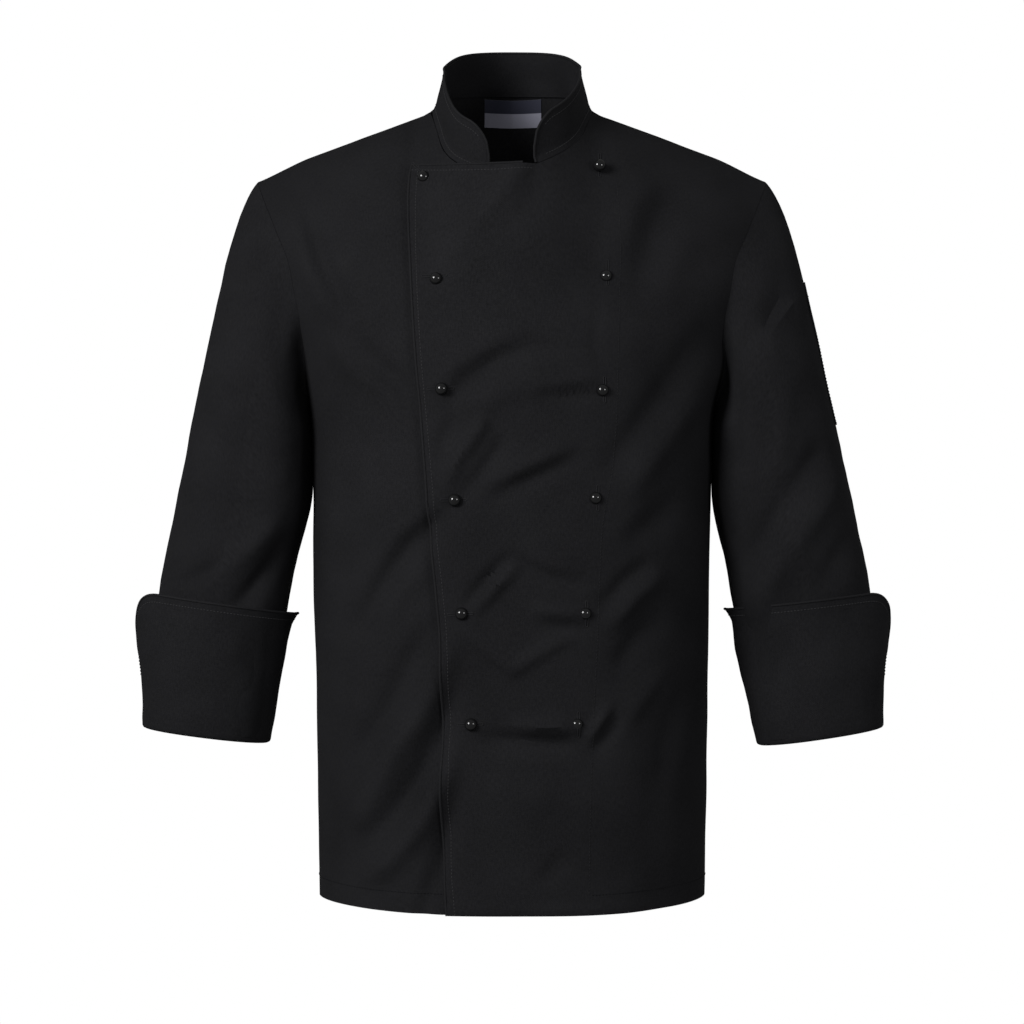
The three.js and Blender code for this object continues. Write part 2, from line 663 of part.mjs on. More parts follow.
// The wearer's right front, which runs on under the left one to the far row of studs.
const rightFront = panel(
  "front_right",
  mirrorPlaces(frontPlaces(underlapEdge, neckSeam.right, UNDERLAP_CORNER)),
  "front",
  (p) => {
    const hidden = smooth(fromOverlapEdge(p.x, p.z) / EDGE_BLEND);
    return foldHeight(folds.front_right, p.x, p.z) * (1 - hidden) - UNDERLAP_SINK * hidden;
  },
);

function backPlaces() {
  const right = sideEdge("back", HEM_Z.side);
  const left = right.map((p) => new THREE.Vector2(-p.x, p.y));
  const columns = BACK_NECK_COLUMNS + 2 * BACK_SHOULDER_COLUMNS;
  const bottom = Array.from({ length: columns + 1 }, (_, j) => {
    return new THREE.Vector2(-1 + (2 * j) / columns, HEM_Z.side);
  });
  const half = shoulderEdge(BACK_SHOULDER_COLUMNS);
  const neckPoint = placeOf(NECK_POINT_X, shoulderZ(NECK_POINT_X)).x;
  const neck = Array.from({ length: BACK_NECK_COLUMNS + 1 }, (_, j) => {
    const turn = -Math.PI / 2 + (Math.PI * j) / BACK_NECK_COLUMNS;
    const x = NECK_POINT_X * Math.sin(turn);
    const z = BACK_NECK_Z * Math.cos(turn) ** BACK_NECK_ROUNDING;
    return placeOf(x, Math.min(z, shoulderZ(x)));
  });
  neck[0].set(-neckPoint, SEAM_LEVEL);
  neck[BACK_NECK_COLUMNS].set(neckPoint, SEAM_LEVEL);
  const mirrored = half.map((p) => new THREE.Vector2(-p.x, p.y)).reverse();
  return patch(bottom, [...mirrored, ...neck, ...half], left, right);
}
const back = panel("back", backPlaces(), "back", (p) => foldHeight(folds.back, p.x, p.z));

// Sleeves

// A point of a sleeve or cuff section. `angle` is 0 outermost, a quarter turn at the front.
function sectionPoint(row, side, angle) {
  const round = (v, rounding) => Math.sign(v) * Math.abs(v) ** (2 / rounding);
  const outerRounding = Math.cos(angle) > 0 ? row.point ?? SLEEVE_ROUNDING : SLEEVE_ROUNDING;
  const out = round(Math.cos(angle), outerRounding);
  const fore = round(Math.sin(angle), SLEEVE_ROUNDING);
  const x = (row.outerX + row.innerX) / 2 + ((row.outerX - row.innerX) / 2) * out;
  const z = (row.outerZ + row.innerZ) / 2 + ((row.outerZ - row.innerZ) / 2) * out;
  const middle = (row.front + row.back) / 2;
  const y = middle + (fore > 0 ? (row.front - middle) * fore : (middle - row.back) * fore);
  return vec(side * x, y, z);
}

// The armhole's loop of outer and inner points, from the shoulder's tip down the front and up.
function armholeLoop(front, backPanel, side) {
  const column = (p) => (side > 0 ? p.outer[0].length - 1 : 0);
  const along = (p, key) =>
    Array.from({ length: ARMHOLE_ROWS + 1 }, (_, i) => p[key][SIDE_ROWS + i][column(p)].clone());
  const loop = (key) => {
    const fore = along(front, key).reverse();
    const rear = along(backPanel, key);
    return [
      midpoint(fore[0], rear[ARMHOLE_ROWS]),
      ...fore.slice(1, -1),
      midpoint(fore[ARMHOLE_ROWS], rear[0]),
      ...rear.slice(1, -1),
    ];
  };
  return { outer: loop("outer"), inner: loop("inner") };
}

// A smooth line from b to c, with a before them and d after them.
const catmull = (a, b, c, d, t) =>
  b.clone().multiplyScalar(2)
    .addScaledVector(c.clone().sub(a), t)
    .addScaledVector(
      a.clone().multiplyScalar(2).addScaledVector(b, -5).addScaledVector(c, 4).sub(d),
      t * t,
    )
    .addScaledVector(
      b.clone().multiplyScalar(3).sub(a).addScaledVector(c, -3).add(d),
      t * t * t,
    )
    .multiplyScalar(0.5);

// Points between a table's sections, for one angle.
function betweenSections(table, side, angle, steps) {
  const points = table.map((row) => sectionPoint(row, side, angle));
  const pick = (k) => points[clamp(k, 0, points.length - 1)];
  const line = [];
  for (let k = 0; k < points.length - 1; k++) {
    for (let s = 0; s < steps; s++) {
      line.push(catmull(pick(k - 1), pick(k), pick(k + 1), pick(k + 2), s / steps));
    }
  }
  line.push(points[points.length - 1]);
  return line;
}

// A sleeve: its first ring is the armhole seam, and the rest follow its sections.
function sleeve(name, side, front) {
  const table = sleeveSections[side > 0 ? "left" : "right"];
  const loop = armholeLoop(front, back, side);
  const count = loop.outer.length;
  const lines = loop.outer.map((start, j) => {
    const angle = (2 * Math.PI * j) / count;
    const first = sectionPoint(table[0], side, angle);
    const normal = start.clone().sub(loop.inner[j]).normalize();
    const next = loop.outer[(j + 1) % count];
    const previous = loop.outer[(j + count - 1) % count];
    const onward = next.clone().sub(previous).cross(normal).normalize().multiplyScalar(-side);
    const chord = first.clone().sub(start);
    const low = Math.max(0, -Math.cos(angle)) ** 2;
    const high = Math.max(0, Math.cos(angle)) ** 2;
    const byHeight = (cap) => cap.sides + cap.under * low + cap.top * high;
    const square = byHeight(CAP_SQUARE);
    const leave = onward.clone().multiplyScalar(square)
      .addScaledVector(chord.clone().normalize(), 1 - square).normalize();
    const second = sectionPoint(table[1], side, angle);
    const arrive = second.sub(first).normalize();
    const early = CAP_ARRIVE.share * chord.length() * (1 - CAP_ARRIVE.under * low);
    const path = new THREE.CubicBezierCurve3(
      start.clone().addScaledVector(onward, SEAM),
      start.clone().addScaledVector(leave, byHeight(CAP_REACH)),
      first.clone().addScaledVector(arrive, -early),
      first,
    );
    const cap = [0, ...CAP_STEPS].map((t) => path.getPoint(t));
    return {
      points: [...cap, ...betweenSections(table, side, angle, SLEEVE_SUBSTEPS)],
      innerStart: loop.inner[j].clone().addScaledVector(onward, SEAM),
    };
  });
  const plain = lines[0].points.map((_, i) => lines.map((line) => line.points[i]));
  const plainNormals = gridNormals(plain, true, side);
  const foreFolds = folds[side > 0 ? "sleeve_left" : "sleeve_right"];
  const outer = plain.map((row, i) =>
    row.map((p, j) => {
      const n = plainNormals[i][j];
      const table = n.y < 0 ? foreFolds : folds.sleeve_backs;
      const x = n.y < 0 ? p.x : Math.abs(p.x);
      const show = smooth(Math.abs(n.y) * FOLD_FACING) * smooth((i - 1) / FOLD_FADE_ROWS);
      return p.clone().addScaledVector(n, foldHeight(table, x, p.z) * show);
    }),
  );
  const normals = gridNormals(outer, true, side);
  const inner = inwards(outer, normals, () => CLOTH);
  inner[0] = lines.map((line) => line.innerStart);
  const geometry = wallGeometry(outer, inner, { ring: true, outward: side });
  return { name, outer, inner, normals, geometry };
}
const leftSleeve = sleeve("sleeve_left", 1, leftFront);
const rightSleeve = sleeve("sleeve_right", -1, rightFront);

// Turned-back cuffs, each open in a slit with rounded corners down its outer side.
function cuff(name, side) {
  const table = cuffSections[side > 0 ? "left" : "right"];
  const halfSlit = CUFF_SLIT_HALF / CUFF_RADIUS;
  const from = CUFF_SLIT_TURN + halfSlit;
  const to = CUFF_SLIT_TURN + 2 * Math.PI - halfSlit;
  const last = CUFF_COLUMNS - 1;
  const rim = table[table.length - 1];
  const lines = Array.from({ length: CUFF_COLUMNS }, (_, j) => {
    const even = j / last;
    const crowded = (1 - Math.cos(Math.PI * even)) / 2;
    const share = (1 - CUFF_CROWDING) * even + CUFF_CROWDING * crowded;
    const angle = from + (to - from) * share;
    const aside = rim.outerX - Math.abs(sectionPoint(rim, side, angle).x);
    const height = 1 - cornerDrop(aside, CUFF_CORNER) / CUFF_HEIGHT;
    const fine = betweenSections(table, side, angle, CUFF_SUBSTEPS);
    const upwards = new THREE.CatmullRomCurve3(fine);
    return Array.from({ length: CUFF_ROWS + 1 }, (_, i) =>
      upwards.getPoint((i / CUFF_ROWS) * height),
    );
  });
  const outer = lines[0].map((_, i) => lines.map((line) => line[i]));
  const normals = gridNormals(outer, true, -side);
  const inner = inwards(outer, normals, () => CUFF_WALL);
  const leftOut = (i, j) => j === last && i >= CUFF_SLIT_ROW;
  const geometry = wallGeometry(outer, inner, { ring: true, outward: -side, leftOut });
  return { name, outer, inner, normals, geometry };
}
const leftCuff = cuff("cuff_left", 1);
const rightCuff = cuff("cuff_right", -1);

// Stand collar, from its end on the wearer's right front round the neck to the other end.
function collarPiece() {
  const topRow = (p) => ({ outer: p.outer[ROWS], inner: p.inner[ROWS] });
  const right = topRow(rightFront);
  const left = topRow(leftFront);
  const rear = topRow(back);
  const span = (row, start, count) => row.slice(start, start + count);
  const loop = (key) => {
    const rightPart = span(right[key], SHOULDER_COLUMNS, NECK_COLUMNS + 1).reverse();
    const backPart = span(rear[key], BACK_SHOULDER_COLUMNS, BACK_NECK_COLUMNS + 1);
    const leftPart = span(left[key], FREE_COLUMNS, NECK_COLUMNS + 1).reverse();
    return [
      ...rightPart.slice(0, -1),
      midpoint(rightPart[NECK_COLUMNS], backPart[0]),
      ...backPart.slice(1, -1),
      midpoint(backPart[BACK_NECK_COLUMNS], leftPart[0]),
      ...leftPart.slice(1),
    ];
  };
  const foot = loop("outer");
  const footInner = loop("inner");
  const last = foot.length - 1;
  const lengths = foot.map((p, j) => (j === 0 ? 0 : p.distanceTo(foot[j - 1])));
  const along = lengths.map((_, j) => lengths.slice(0, j + 1).reduce((a, b) => a + b, 0));
  const seamNormals = foot.map((p, j) => p.clone().sub(footInner[j]).normalize());
  const columns = foot.map((p, j) => {
    const next = foot[Math.min(last, j + 1)];
    const previous = foot[Math.max(0, j - 1)];
    const onward = next.clone().sub(previous).cross(seamNormals[j]).normalize();
    const flat = vec(p.x, p.y, 0).normalize();
    const rise = vec(
      -COLLAR_LEAN.inward * flat.x,
      -COLLAR_LEAN.forward - COLLAR_LEAN.behind * flat.y,
      1,
    ).normalize();
    const off = Math.min(along[j], along[last] - along[j]);
    const top = COLLAR_ROWS[COLLAR_ROWS.length - 1];
    const share = (top - cornerDrop(off, COLLAR_CORNER)) / top;
    return COLLAR_ROWS.map((height) => {
      const h = height * share;
      const low = Math.min(h, COLLAR_ROWS[1]);
      return p.clone().addScaledVector(onward, COLLAR_SEAM + low * COLLAR_FOOT.out)
        .addScaledVector(rise, low * COLLAR_FOOT.up + (h - low));
    });
  });
  const outer = COLLAR_ROWS.map((_, i) => columns.map((line) => line[i]));
  const normals = gridNormals(outer, false, -1);
  const inner = inwards(outer, normals, () => COLLAR_WALL);
  inner[0] = outer[0].map((p, j) => p.clone().addScaledVector(seamNormals[j], -COLLAR_WALL));
  const geometry = wallGeometry(outer, inner, { outward: -1 });
  return { name: "collar", outer, inner, normals, geometry };
}
const collar = collarPiece();

// A round bead of piping beside a wall's free edge. `edge` lists [outer, inner] point pairs,
// and `hand` is 1 where the cloth lies to the left of the path seen from outside.
function piping(edge, hand) {
  const middle = edge.map(([outer, inner]) => midpoint(outer, inner));
  const last = middle.length - 1;
  const rings = middle.map((p, k) => {
    const normal = edge[k][0].clone().sub(edge[k][1]).normalize();
    const before = k > 0 ? p.clone().sub(middle[k - 1]).normalize() : null;
    const after = k < last ? middle[k + 1].clone().sub(p).normalize() : null;
    const along = (before || after).clone().add(after || before).normalize();
    const out = along.clone().cross(normal).multiplyScalar(hand).normalize();
    const turn = before && after ? Math.sqrt((1 + before.dot(after)) / 2) : 1;
    const centre = p.clone().addScaledVector(out, (PIPING + SEAM) / Math.max(PIPING_MITRE, turn));
    const up = out.clone().cross(along).normalize();
    return Array.from({ length: PIPING_SIDES }, (_, q) => {
      const angle = (2 * Math.PI * (q + 0.5)) / PIPING_SIDES;
      return centre.clone()
        .addScaledVector(out, PIPING * Math.cos(angle))
        .addScaledVector(up, PIPING * Math.sin(angle));
    });
  });
  const positions = rings.flat().flatMap((p) => [p.x, p.y, p.z]);
  const faces = [];
  for (let k = 0; k < last; k++) {
    for (let q = 0; q < PIPING_SIDES; q++) {
      const a = k * PIPING_SIDES + q;
      const b = k * PIPING_SIDES + ((q + 1) % PIPING_SIDES);
      faces.push([a, b, b + PIPING_SIDES], [a, b + PIPING_SIDES, a + PIPING_SIDES]);
    }
  }
  for (let q = 1; q < PIPING_SIDES - 1; q++) {
    faces.push([0, q + 1, q]);
    const end = last * PIPING_SIDES;
    faces.push([end, end + q, end + q + 1]);
  }
  const geometry = new THREE.BufferGeometry();
  geometry.setAttribute("position", new THREE.Float32BufferAttribute(positions, 3));
  geometry.setIndex(faces.flat());
  return faceOutwards(geometry);
}

// Turns a closed shell's faces round where they look inwards.
function faceOutwards(geometry) {
  const index = geometry.getIndex().array;
  const position = geometry.getAttribute("position");
  const corner = (k) => new THREE.Vector3().fromBufferAttribute(position, index[k]);
  let volume = 0;
  for (let k = 0; k < index.length; k += 3) {
    volume += corner(k).dot(corner(k + 1).cross(corner(k + 2))) / 6;
  }
  if (volume < 0) {
    for (let k = 0; k < index.length; k += 3) {
      [index[k + 1], index[k + 2]] = [index[k + 2], index[k + 1]];
    }
  }
  return geometry;
}

// The piping's paths: up one side of a free edge, along it, and down the other side.
const edgePair = (piece, i, j) => [piece.outer[i][j], piece.inner[i][j]];
function cuffPipingPath(piece) {
  const last = CUFF_COLUMNS - 1;
  const path = [];
  const start = (j) =>
    edgePair(piece, CUFF_SLIT_ROW, j).map((p, k) =>
      p.clone().lerp(edgePair(piece, CUFF_SLIT_ROW + 1, j)[k], PIPING_START),
    );
  path.push(start(0));
  for (let i = CUFF_SLIT_ROW + 1; i < CUFF_ROWS; i++) path.push(edgePair(piece, i, 0));
  for (let j = 0; j <= last; j++) path.push(edgePair(piece, CUFF_ROWS, j));
  for (let i = CUFF_ROWS - 1; i > CUFF_SLIT_ROW; i--) path.push(edgePair(piece, i, last));
  path.push(start(last));
  return path;
}
function collarPipingPath() {
  const top = COLLAR_ROWS.length - 1;
  const last = collar.outer[0].length - 1;
  const path = [];
  for (let i = 1; i < top; i++) path.push(edgePair(collar, i, 0));
  for (let j = 0; j <= last; j++) path.push(edgePair(collar, top, j));
  for (let i = top - 1; i >= 1; i--) path.push(edgePair(collar, i, last));
  return path;
}
function frontPipingPath() {
  const path = [];
  for (let i = 0; i < ROWS; i++) path.push(edgePair(leftFront, i, 0));
  for (let j = 0; j < FREE_COLUMNS; j++) path.push(edgePair(leftFront, ROWS, j));
  return path;
}

// Solid geometry's way to and from manifold meshes, with which the stud holes are cut.
const toManifold = (geometry) => {
  const bare = geometry.clone();
  bare.deleteAttribute("normal");
  bare.deleteAttribute("uv");
  const merged = mergeVertices(bare, WELD);
  return new wasm.Manifold(
    new wasm.Mesh({
      numProp: 3,
      vertProperties: merged.attributes.position.array,
      triVerts: new Uint32Array(merged.index.array),
    }),
  );
};
const toGeometry = (solid) => {
  const mesh = solid.getMesh();
  const geometry = new THREE.BufferGeometry();
  geometry.setAttribute("position", new THREE.BufferAttribute(mesh.vertProperties, 3));
  geometry.setIndex(new THREE.BufferAttribute(mesh.triVerts, 1));
  return geometry;
};

// Where a line through the cloth, along `direction`, first meets a panel and last leaves it.
function throughPanel(geometry, origin, direction) {
  const mesh = new THREE.Mesh(geometry, new THREE.MeshBasicMaterial({ side: THREE.DoubleSide }));
  mesh.updateMatrixWorld();
  const hits = new THREE.Raycaster(origin, direction).intersectObject(mesh);
  const near = hits.filter((h) => h.distance < STUD.deepest);
  return near.length ? [near[0].distance, near[near.length - 1].distance] : null;
}

// Where a stud stands: its direction, and the depths at which the cloth begins and ends under it.
function studAt({ x, z }) {
  const place = placeOf(x, z);
  const here = bodyPoint("front", place.x, place.y);
  const across = bodyPoint("front", place.x + TURN_STEP, place.y)
    .sub(bodyPoint("front", place.x - TURN_STEP, place.y));
  const up = bodyPoint("front", place.x, place.y + 1).sub(bodyPoint("front", place.x, place.y - 1));
  const out = across.cross(up).normalize();
  const origin = here.clone().addScaledVector(out, STUD.startOut);
  const inward = out.clone().negate();
  const outside = throughPanel(leftFront.geometry, origin, inward);
  const [u, v] = [across.normalize(), out.clone().cross(across).normalize()];
  const inside = Array.from({ length: STUD.footPoints }, (_, k) => {
    const angle = (2 * Math.PI * k) / STUD.footPoints;
    const from = origin.clone()
      .addScaledVector(u, STUD.foot * Math.cos(angle))
      .addScaledVector(v, STUD.foot * Math.sin(angle));
    return Math.max(
      throughPanel(leftFront.geometry, from, inward)?.[1] ?? 0,
      throughPanel(rightFront.geometry, from, inward)?.[1] ?? 0,
    );
  });
  return { out, origin, top: outside[0], bottom: Math.max(...inside) };
}

// A shape made upright round +Y, turned to a stud's direction and moved in to a depth.
function alignedTo(geometry, out, origin, depth) {
  const turn = new THREE.Quaternion().setFromUnitVectors(vec(0, 1, 0), out);
  const move = origin.clone().addScaledVector(out, -depth);
  return geometry.applyMatrix4(new THREE.Matrix4().compose(move, turn, vec(1, 1, 1)));
}

// How far the ball's middle lies above the circle where the ball meets its neck.
const ballFoot = Math.sqrt(STUD.ball ** 2 - STUD.neck ** 2);
function studGeometry(stud) {
  const footTop = stud.top - stud.bottom - STUD.clear;
  const centre = ballFoot + STUD.clear;
  const profile = [
    new THREE.Vector2(0, footTop - STUD.footHeight),
    new THREE.Vector2(STUD.foot, footTop - STUD.footHeight),
    new THREE.Vector2(STUD.foot, footTop),
    new THREE.Vector2(STUD.neck, footTop),
  ];
  const start = Math.asin(STUD.neck / STUD.ball);
  for (let k = 0; k <= STUD.ballSteps; k++) {
    const angle = start + ((Math.PI - start) * k) / STUD.ballSteps;
    const r = k === STUD.ballSteps ? 0 : STUD.ball * Math.sin(angle);
    profile.push(new THREE.Vector2(r, centre - STUD.ball * Math.cos(angle)));
  }
  return alignedTo(new THREE.LatheGeometry(profile, STUD.sides), stud.out, stud.origin, stud.top);
}
function holeGeometry(stud) {
  const length = stud.bottom - stud.top + STUD.holeSpare;
  const cylinder = new THREE.CylinderGeometry(STUD.hole, STUD.hole, length, STUD.sides);
  return alignedTo(cylinder, stud.out, stud.origin, (stud.top + stud.bottom) / 2);
}

const studs = studPlaces.map((place) => ({ ...place, ...studAt(place) }));
function withHoles(geometry) {
  const holes = studs.map((stud) => toManifold(holeGeometry(stud)));
  return toGeometry(holes.reduce((solid, hole) => solid.subtract(hole), toManifold(geometry)));
}

// A point of a grid between its rows and columns.
function between(points, row, column) {
  const i = Math.min(points.length - 2, Math.floor(row));
  const j = Math.min(points[0].length - 2, Math.floor(column));
  const low = points[i][j].clone().lerp(points[i][j + 1], column - j);
  const high = points[i + 1][j].clone().lerp(points[i + 1][j + 1], column - j);
  return low.lerp(high, row - i);
}

// Neck label, lying against the inside of the back, below the neck seam.
function labelGeometry() {
  const middle = (BACK_NECK_COLUMNS + 2 * BACK_SHOULDER_COLUMNS) / 2;
  const at = (row, column, depth) =>
    between(back.inner, row, column)
      .addScaledVector(between(back.normals, row, column).normalize(), -depth);
  const sheet = (depth) =>
    LABEL.rows.map((row) =>
      LABEL.columns.map((column) => at(ROWS + row, middle + column, depth)),
    );
  return faceOutwards(wallGeometry(sheet(LABEL.gap), sheet(LABEL.gap + LABEL.wall)));
}

// Pen pocket on the outer side of the wearer's left sleeve, made from the sleeve's own points.
function pocketGeometry() {
  const around = leftSleeve.outer[0].length;
  const at = (i, k, height) => {
    const j = (k + around) % around;
    return leftSleeve.outer[i][j].clone().addScaledVector(leftSleeve.normals[i][j], height);
  };
  const sheet = (height) => POCKET.rows.map((i) => POCKET.columns.map((k) => at(i, k, height)));
  return faceOutwards(wallGeometry(sheet(POCKET.gap + POCKET.wall), sheet(POCKET.gap)));
}

add("back", back.geometry, clothMaterial);
add("front_left", withHoles(leftFront.geometry), clothMaterial);
add("front_right", withHoles(rightFront.geometry), clothMaterial);
add("sleeve_left", leftSleeve.geometry, clothMaterial);
add("sleeve_right", rightSleeve.geometry, clothMaterial);
add("cuff_left", leftCuff.geometry, clothMaterial);
add("cuff_right", rightCuff.geometry, clothMaterial);
add("collar", collar.geometry, clothMaterial);
add("sleeve_pocket", pocketGeometry(), clothMaterial);
add("piping_front", piping(frontPipingPath(), -1), pipingMaterial);
add("piping_collar", piping(collarPipingPath(), 1), pipingMaterial);
add("piping_cuff_left", piping(cuffPipingPath(leftCuff), 1), pipingMaterial);
add("piping_cuff_right", piping(cuffPipingPath(rightCuff), -1), pipingMaterial);
add("neck_label", labelGeometry(), labelMaterial);
for (const stud of studs) add(`stud_${stud.name}`, studGeometry(stud), studMaterial);

export default jacket;
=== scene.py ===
# %% [markdown]
# # A double-breasted chef jacket
# The real jacket is cut from thin black cotton twill and looks solid only because a form filled
# it out for the picture. It could be made by draping flat pieces over a body with the cloth
# simulator, but then no seam would land where the measured solids have theirs. So each piece is
# a sheet that follows the same measured body, with the folds laid in one by one.

# %% Load the measured frame
import math

import bmesh
import bpy
import numpy as np
from mathutils import Matrix, Vector, noise


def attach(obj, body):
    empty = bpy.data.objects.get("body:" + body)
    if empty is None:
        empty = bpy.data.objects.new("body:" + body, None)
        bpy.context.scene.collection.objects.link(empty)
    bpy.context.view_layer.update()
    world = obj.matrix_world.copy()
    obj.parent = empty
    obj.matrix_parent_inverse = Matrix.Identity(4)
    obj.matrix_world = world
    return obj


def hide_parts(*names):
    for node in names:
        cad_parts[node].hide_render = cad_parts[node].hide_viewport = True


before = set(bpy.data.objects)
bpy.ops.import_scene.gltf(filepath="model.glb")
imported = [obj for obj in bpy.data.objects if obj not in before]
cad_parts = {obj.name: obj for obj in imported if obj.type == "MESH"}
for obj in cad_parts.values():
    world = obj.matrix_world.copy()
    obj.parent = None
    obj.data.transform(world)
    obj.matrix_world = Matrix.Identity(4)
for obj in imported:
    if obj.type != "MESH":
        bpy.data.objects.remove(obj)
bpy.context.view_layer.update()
MM = 0.001
print("solids loaded:", len(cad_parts))

# %% [markdown]
# ## The camera
# The jacket was photographed straight from the front with a long lens, so the camera stands
# three metres away, level with the chest, and the lens is worked out from the width it sees.

# %% Camera
CAMERA_DISTANCE = 3.0
CAMERA_HEIGHT = -0.388
SEEN_WIDTH = 0.9933  # metres, at the jacket's side seams
bpy.ops.object.camera_add(
    location=(0, -CAMERA_DISTANCE, CAMERA_HEIGHT), rotation=(math.radians(90), 0, 0)
)
camera = bpy.context.object
camera.data.lens = camera.data.sensor_width * CAMERA_DISTANCE / SEEN_WIDTH
bpy.context.scene.camera = camera
print("lens in millimetres:", round(camera.data.lens, 1))

# %% [markdown]
# ## Smooth lines through a few measurements
# A garment's outline is known at a few heights. A cubic line that never overshoots joins them,
# so a sleeve or a side seam stays as fair as a tailor's curve.

# %% Tables and smooth curves
def table(columns, rows):
    return dict(zip(columns.split(), np.array(rows, float).T))


def curve(rows, start, end):
    order = np.argsort(rows[start])
    at = rows[start][order]
    value = rows[end][order]
    rise = np.diff(value) / np.diff(at)
    product = rise[:-1] * rise[1:]
    total = np.where(rise[:-1] + rise[1:] == 0, 1, rise[:-1] + rise[1:])
    middle = np.where(product > 0, 2 * product / total, 0)
    slope = np.concatenate([rise[:1], middle, rise[-1:]])

    def line(v):
        x = np.clip(v, at[0], at[-1])
        i = np.clip(np.searchsorted(at, x, side="right") - 1, 0, len(at) - 2)
        step = at[i + 1] - at[i]
        t = (x - at[i]) / step
        return (
            value[i] * (1 + 2 * t) * (1 - t) ** 2
            + slope[i] * step * t * (1 - t) ** 2
            + value[i + 1] * t * t * (3 - 2 * t)
            + slope[i + 1] * step * t * t * (t - 1)
        )

    return line


def smooth(v):
    v = np.clip(v, 0, 1)
    return v * v * (3 - 2 * v)


# %% [markdown]
# ## The body under the cloth
# These measurements, in millimetres, are the ones the solids were made from: half widths and
# depths of the filled-out body, the armhole seams, the free edges and the neck seam.

# %% Body measurements
CHEST_Z = -230
SHOULDER_SPAN = 230
SEAM_LEVEL = CHEST_Z + SHOULDER_SPAN * math.pi / 2
ARMPIT_Z = -300
SIDE_ROUNDING = {"front": 2.4, "back": 2.3}
SHOULDER_ROUNDING = {"front": 1.6, "back": 1.8}
SHOULDER_TIP_X = 246
NECK_POINT_X = 79.5
HEM_HEIGHT = 19
HEM_MIDDLE_Z = -763.5
HEM_SIDE_Z = -756
HEM_LEVEL_SHARE = 0.3  # this share of a front's hem, from its free edge, lies level
SEAM = 0.3
SHOULDER_RISE = 28  # where the line of the shoulder seam would meet the middle
SHOULDER_SLOPE = 0.37
SHOULDER_DROP = 5
SHOULDER_DROP_X = 195
NECK_REACH = 86
NECK_RISE = 62
body_sections = table(
    "level half_width front back",
    [
        (-790, 185.5, 125, 116),
        (-740, 186.5, 127, 115),
        (-570, 189, 131, 112),
        (-400, 191.5, 137, 116),
        (-300, 194.5, 136, 121),
        (-230, 208, 130, 124),
        (-168, 229, 120, 126),
        (-100, 244, 109, 127),
        (18, 259, 108, 127),
        (131, 266, 108, 127),
    ],
)
armhole_seam = table(
    "z front back",
    [
        (-300, 194.5, 194.5),
        (-284, 195.4, 197.5),
        (-262, 197, 202),
        (-235, 199, 207),
        (-205, 202, 212.5),
        (-180, 207, 217),
        (-150, 213, 223),
        (-120, 225.5, 230),
        (-95, 236, 237),
        (-70, 246, 246),
    ],
)
overlap_edge = table(
    "z x",
    [
        (-768, 59),
        (-731, 62),
        (-650, 64.5),
        (-582, 63.5),
        (-521, 65),
        (-462, 69.5),
        (-414, 74.5),
        (-325, 81.5),
        (-225, 90),
        (-155, 94.5),
        (-98, 97),
        (-60, 94.5),
    ],
)
underlap_edge = table(
    "z x",
    [(-765, 72), (-585, 76), (-482, 83), (-375, 92), (-275, 98), (-165, 102), (-70, 97)],
)
NECK_SEAM = {
    "left": [
        (23.5, -60), (36, -54), (49, -46.5), (59.5, -37.5), (67.5, -27), (73, -14), (79.5, -1.4),
    ],
    "right": [
        (25, -66), (38, -62.5), (51, -57), (61.5, -49), (69, -38), (74, -20), (79.5, -1.4),
    ],
}
half_width_at = curve(body_sections, "level", "half_width")
depth_at = {face: curve(body_sections, "level", face) for face in ("front", "back")}
overlap_x = curve(overlap_edge, "z", "x")
underlap_x = curve(underlap_edge, "z", "x")


def shoulder_z(x):
    out = np.abs(x)
    neck = np.where(out < NECK_REACH, (1 - np.minimum(out / NECK_REACH, 1) ** 2) ** 2, 0)
    drop = SHOULDER_DROP * smooth((out - SHOULDER_DROP_X) / (SHOULDER_TIP_X - SHOULDER_DROP_X))
    return SHOULDER_RISE - SHOULDER_SLOPE * out + NECK_RISE * neck - drop


def body_point(face, turn, level):
    lean = np.sin(turn * math.pi / 2)
    x = half_width_at(level) * lean
    rise = np.where(level > CHEST_Z, np.sin((level - CHEST_Z) / SHOULDER_SPAN), 0)
    z = np.where(level > CHEST_Z, CHEST_Z + (shoulder_z(x) - CHEST_Z) * rise, level)
    side = SIDE_ROUNDING[face]
    over = SHOULDER_ROUNDING[face]
    depth = (
        depth_at[face](level)
        * np.maximum(0, 1 - np.abs(lean) ** side) ** (1 / side)
        * np.maximum(0, 1 - rise**over) ** (1 / over)
    )
    return np.stack([x, -depth if face == "front" else depth, z], axis=-1)


def place_of(x, z):
    x = np.asarray(x, float)
    z = np.asarray(z, float)
    rise = np.clip((z - CHEST_Z) / (shoulder_z(x) - CHEST_Z), 0, 1)
    level = np.where(z > CHEST_Z, CHEST_Z + SHOULDER_SPAN * np.arcsin(rise), z)
    turn = np.arcsin(np.clip(x / half_width_at(level), -1, 1)) * 2 / math.pi
    return np.stack([turn, level], axis=-1)


print("body depth at the chest:", depth_at["front"](-300.0) + depth_at["back"](-300.0))
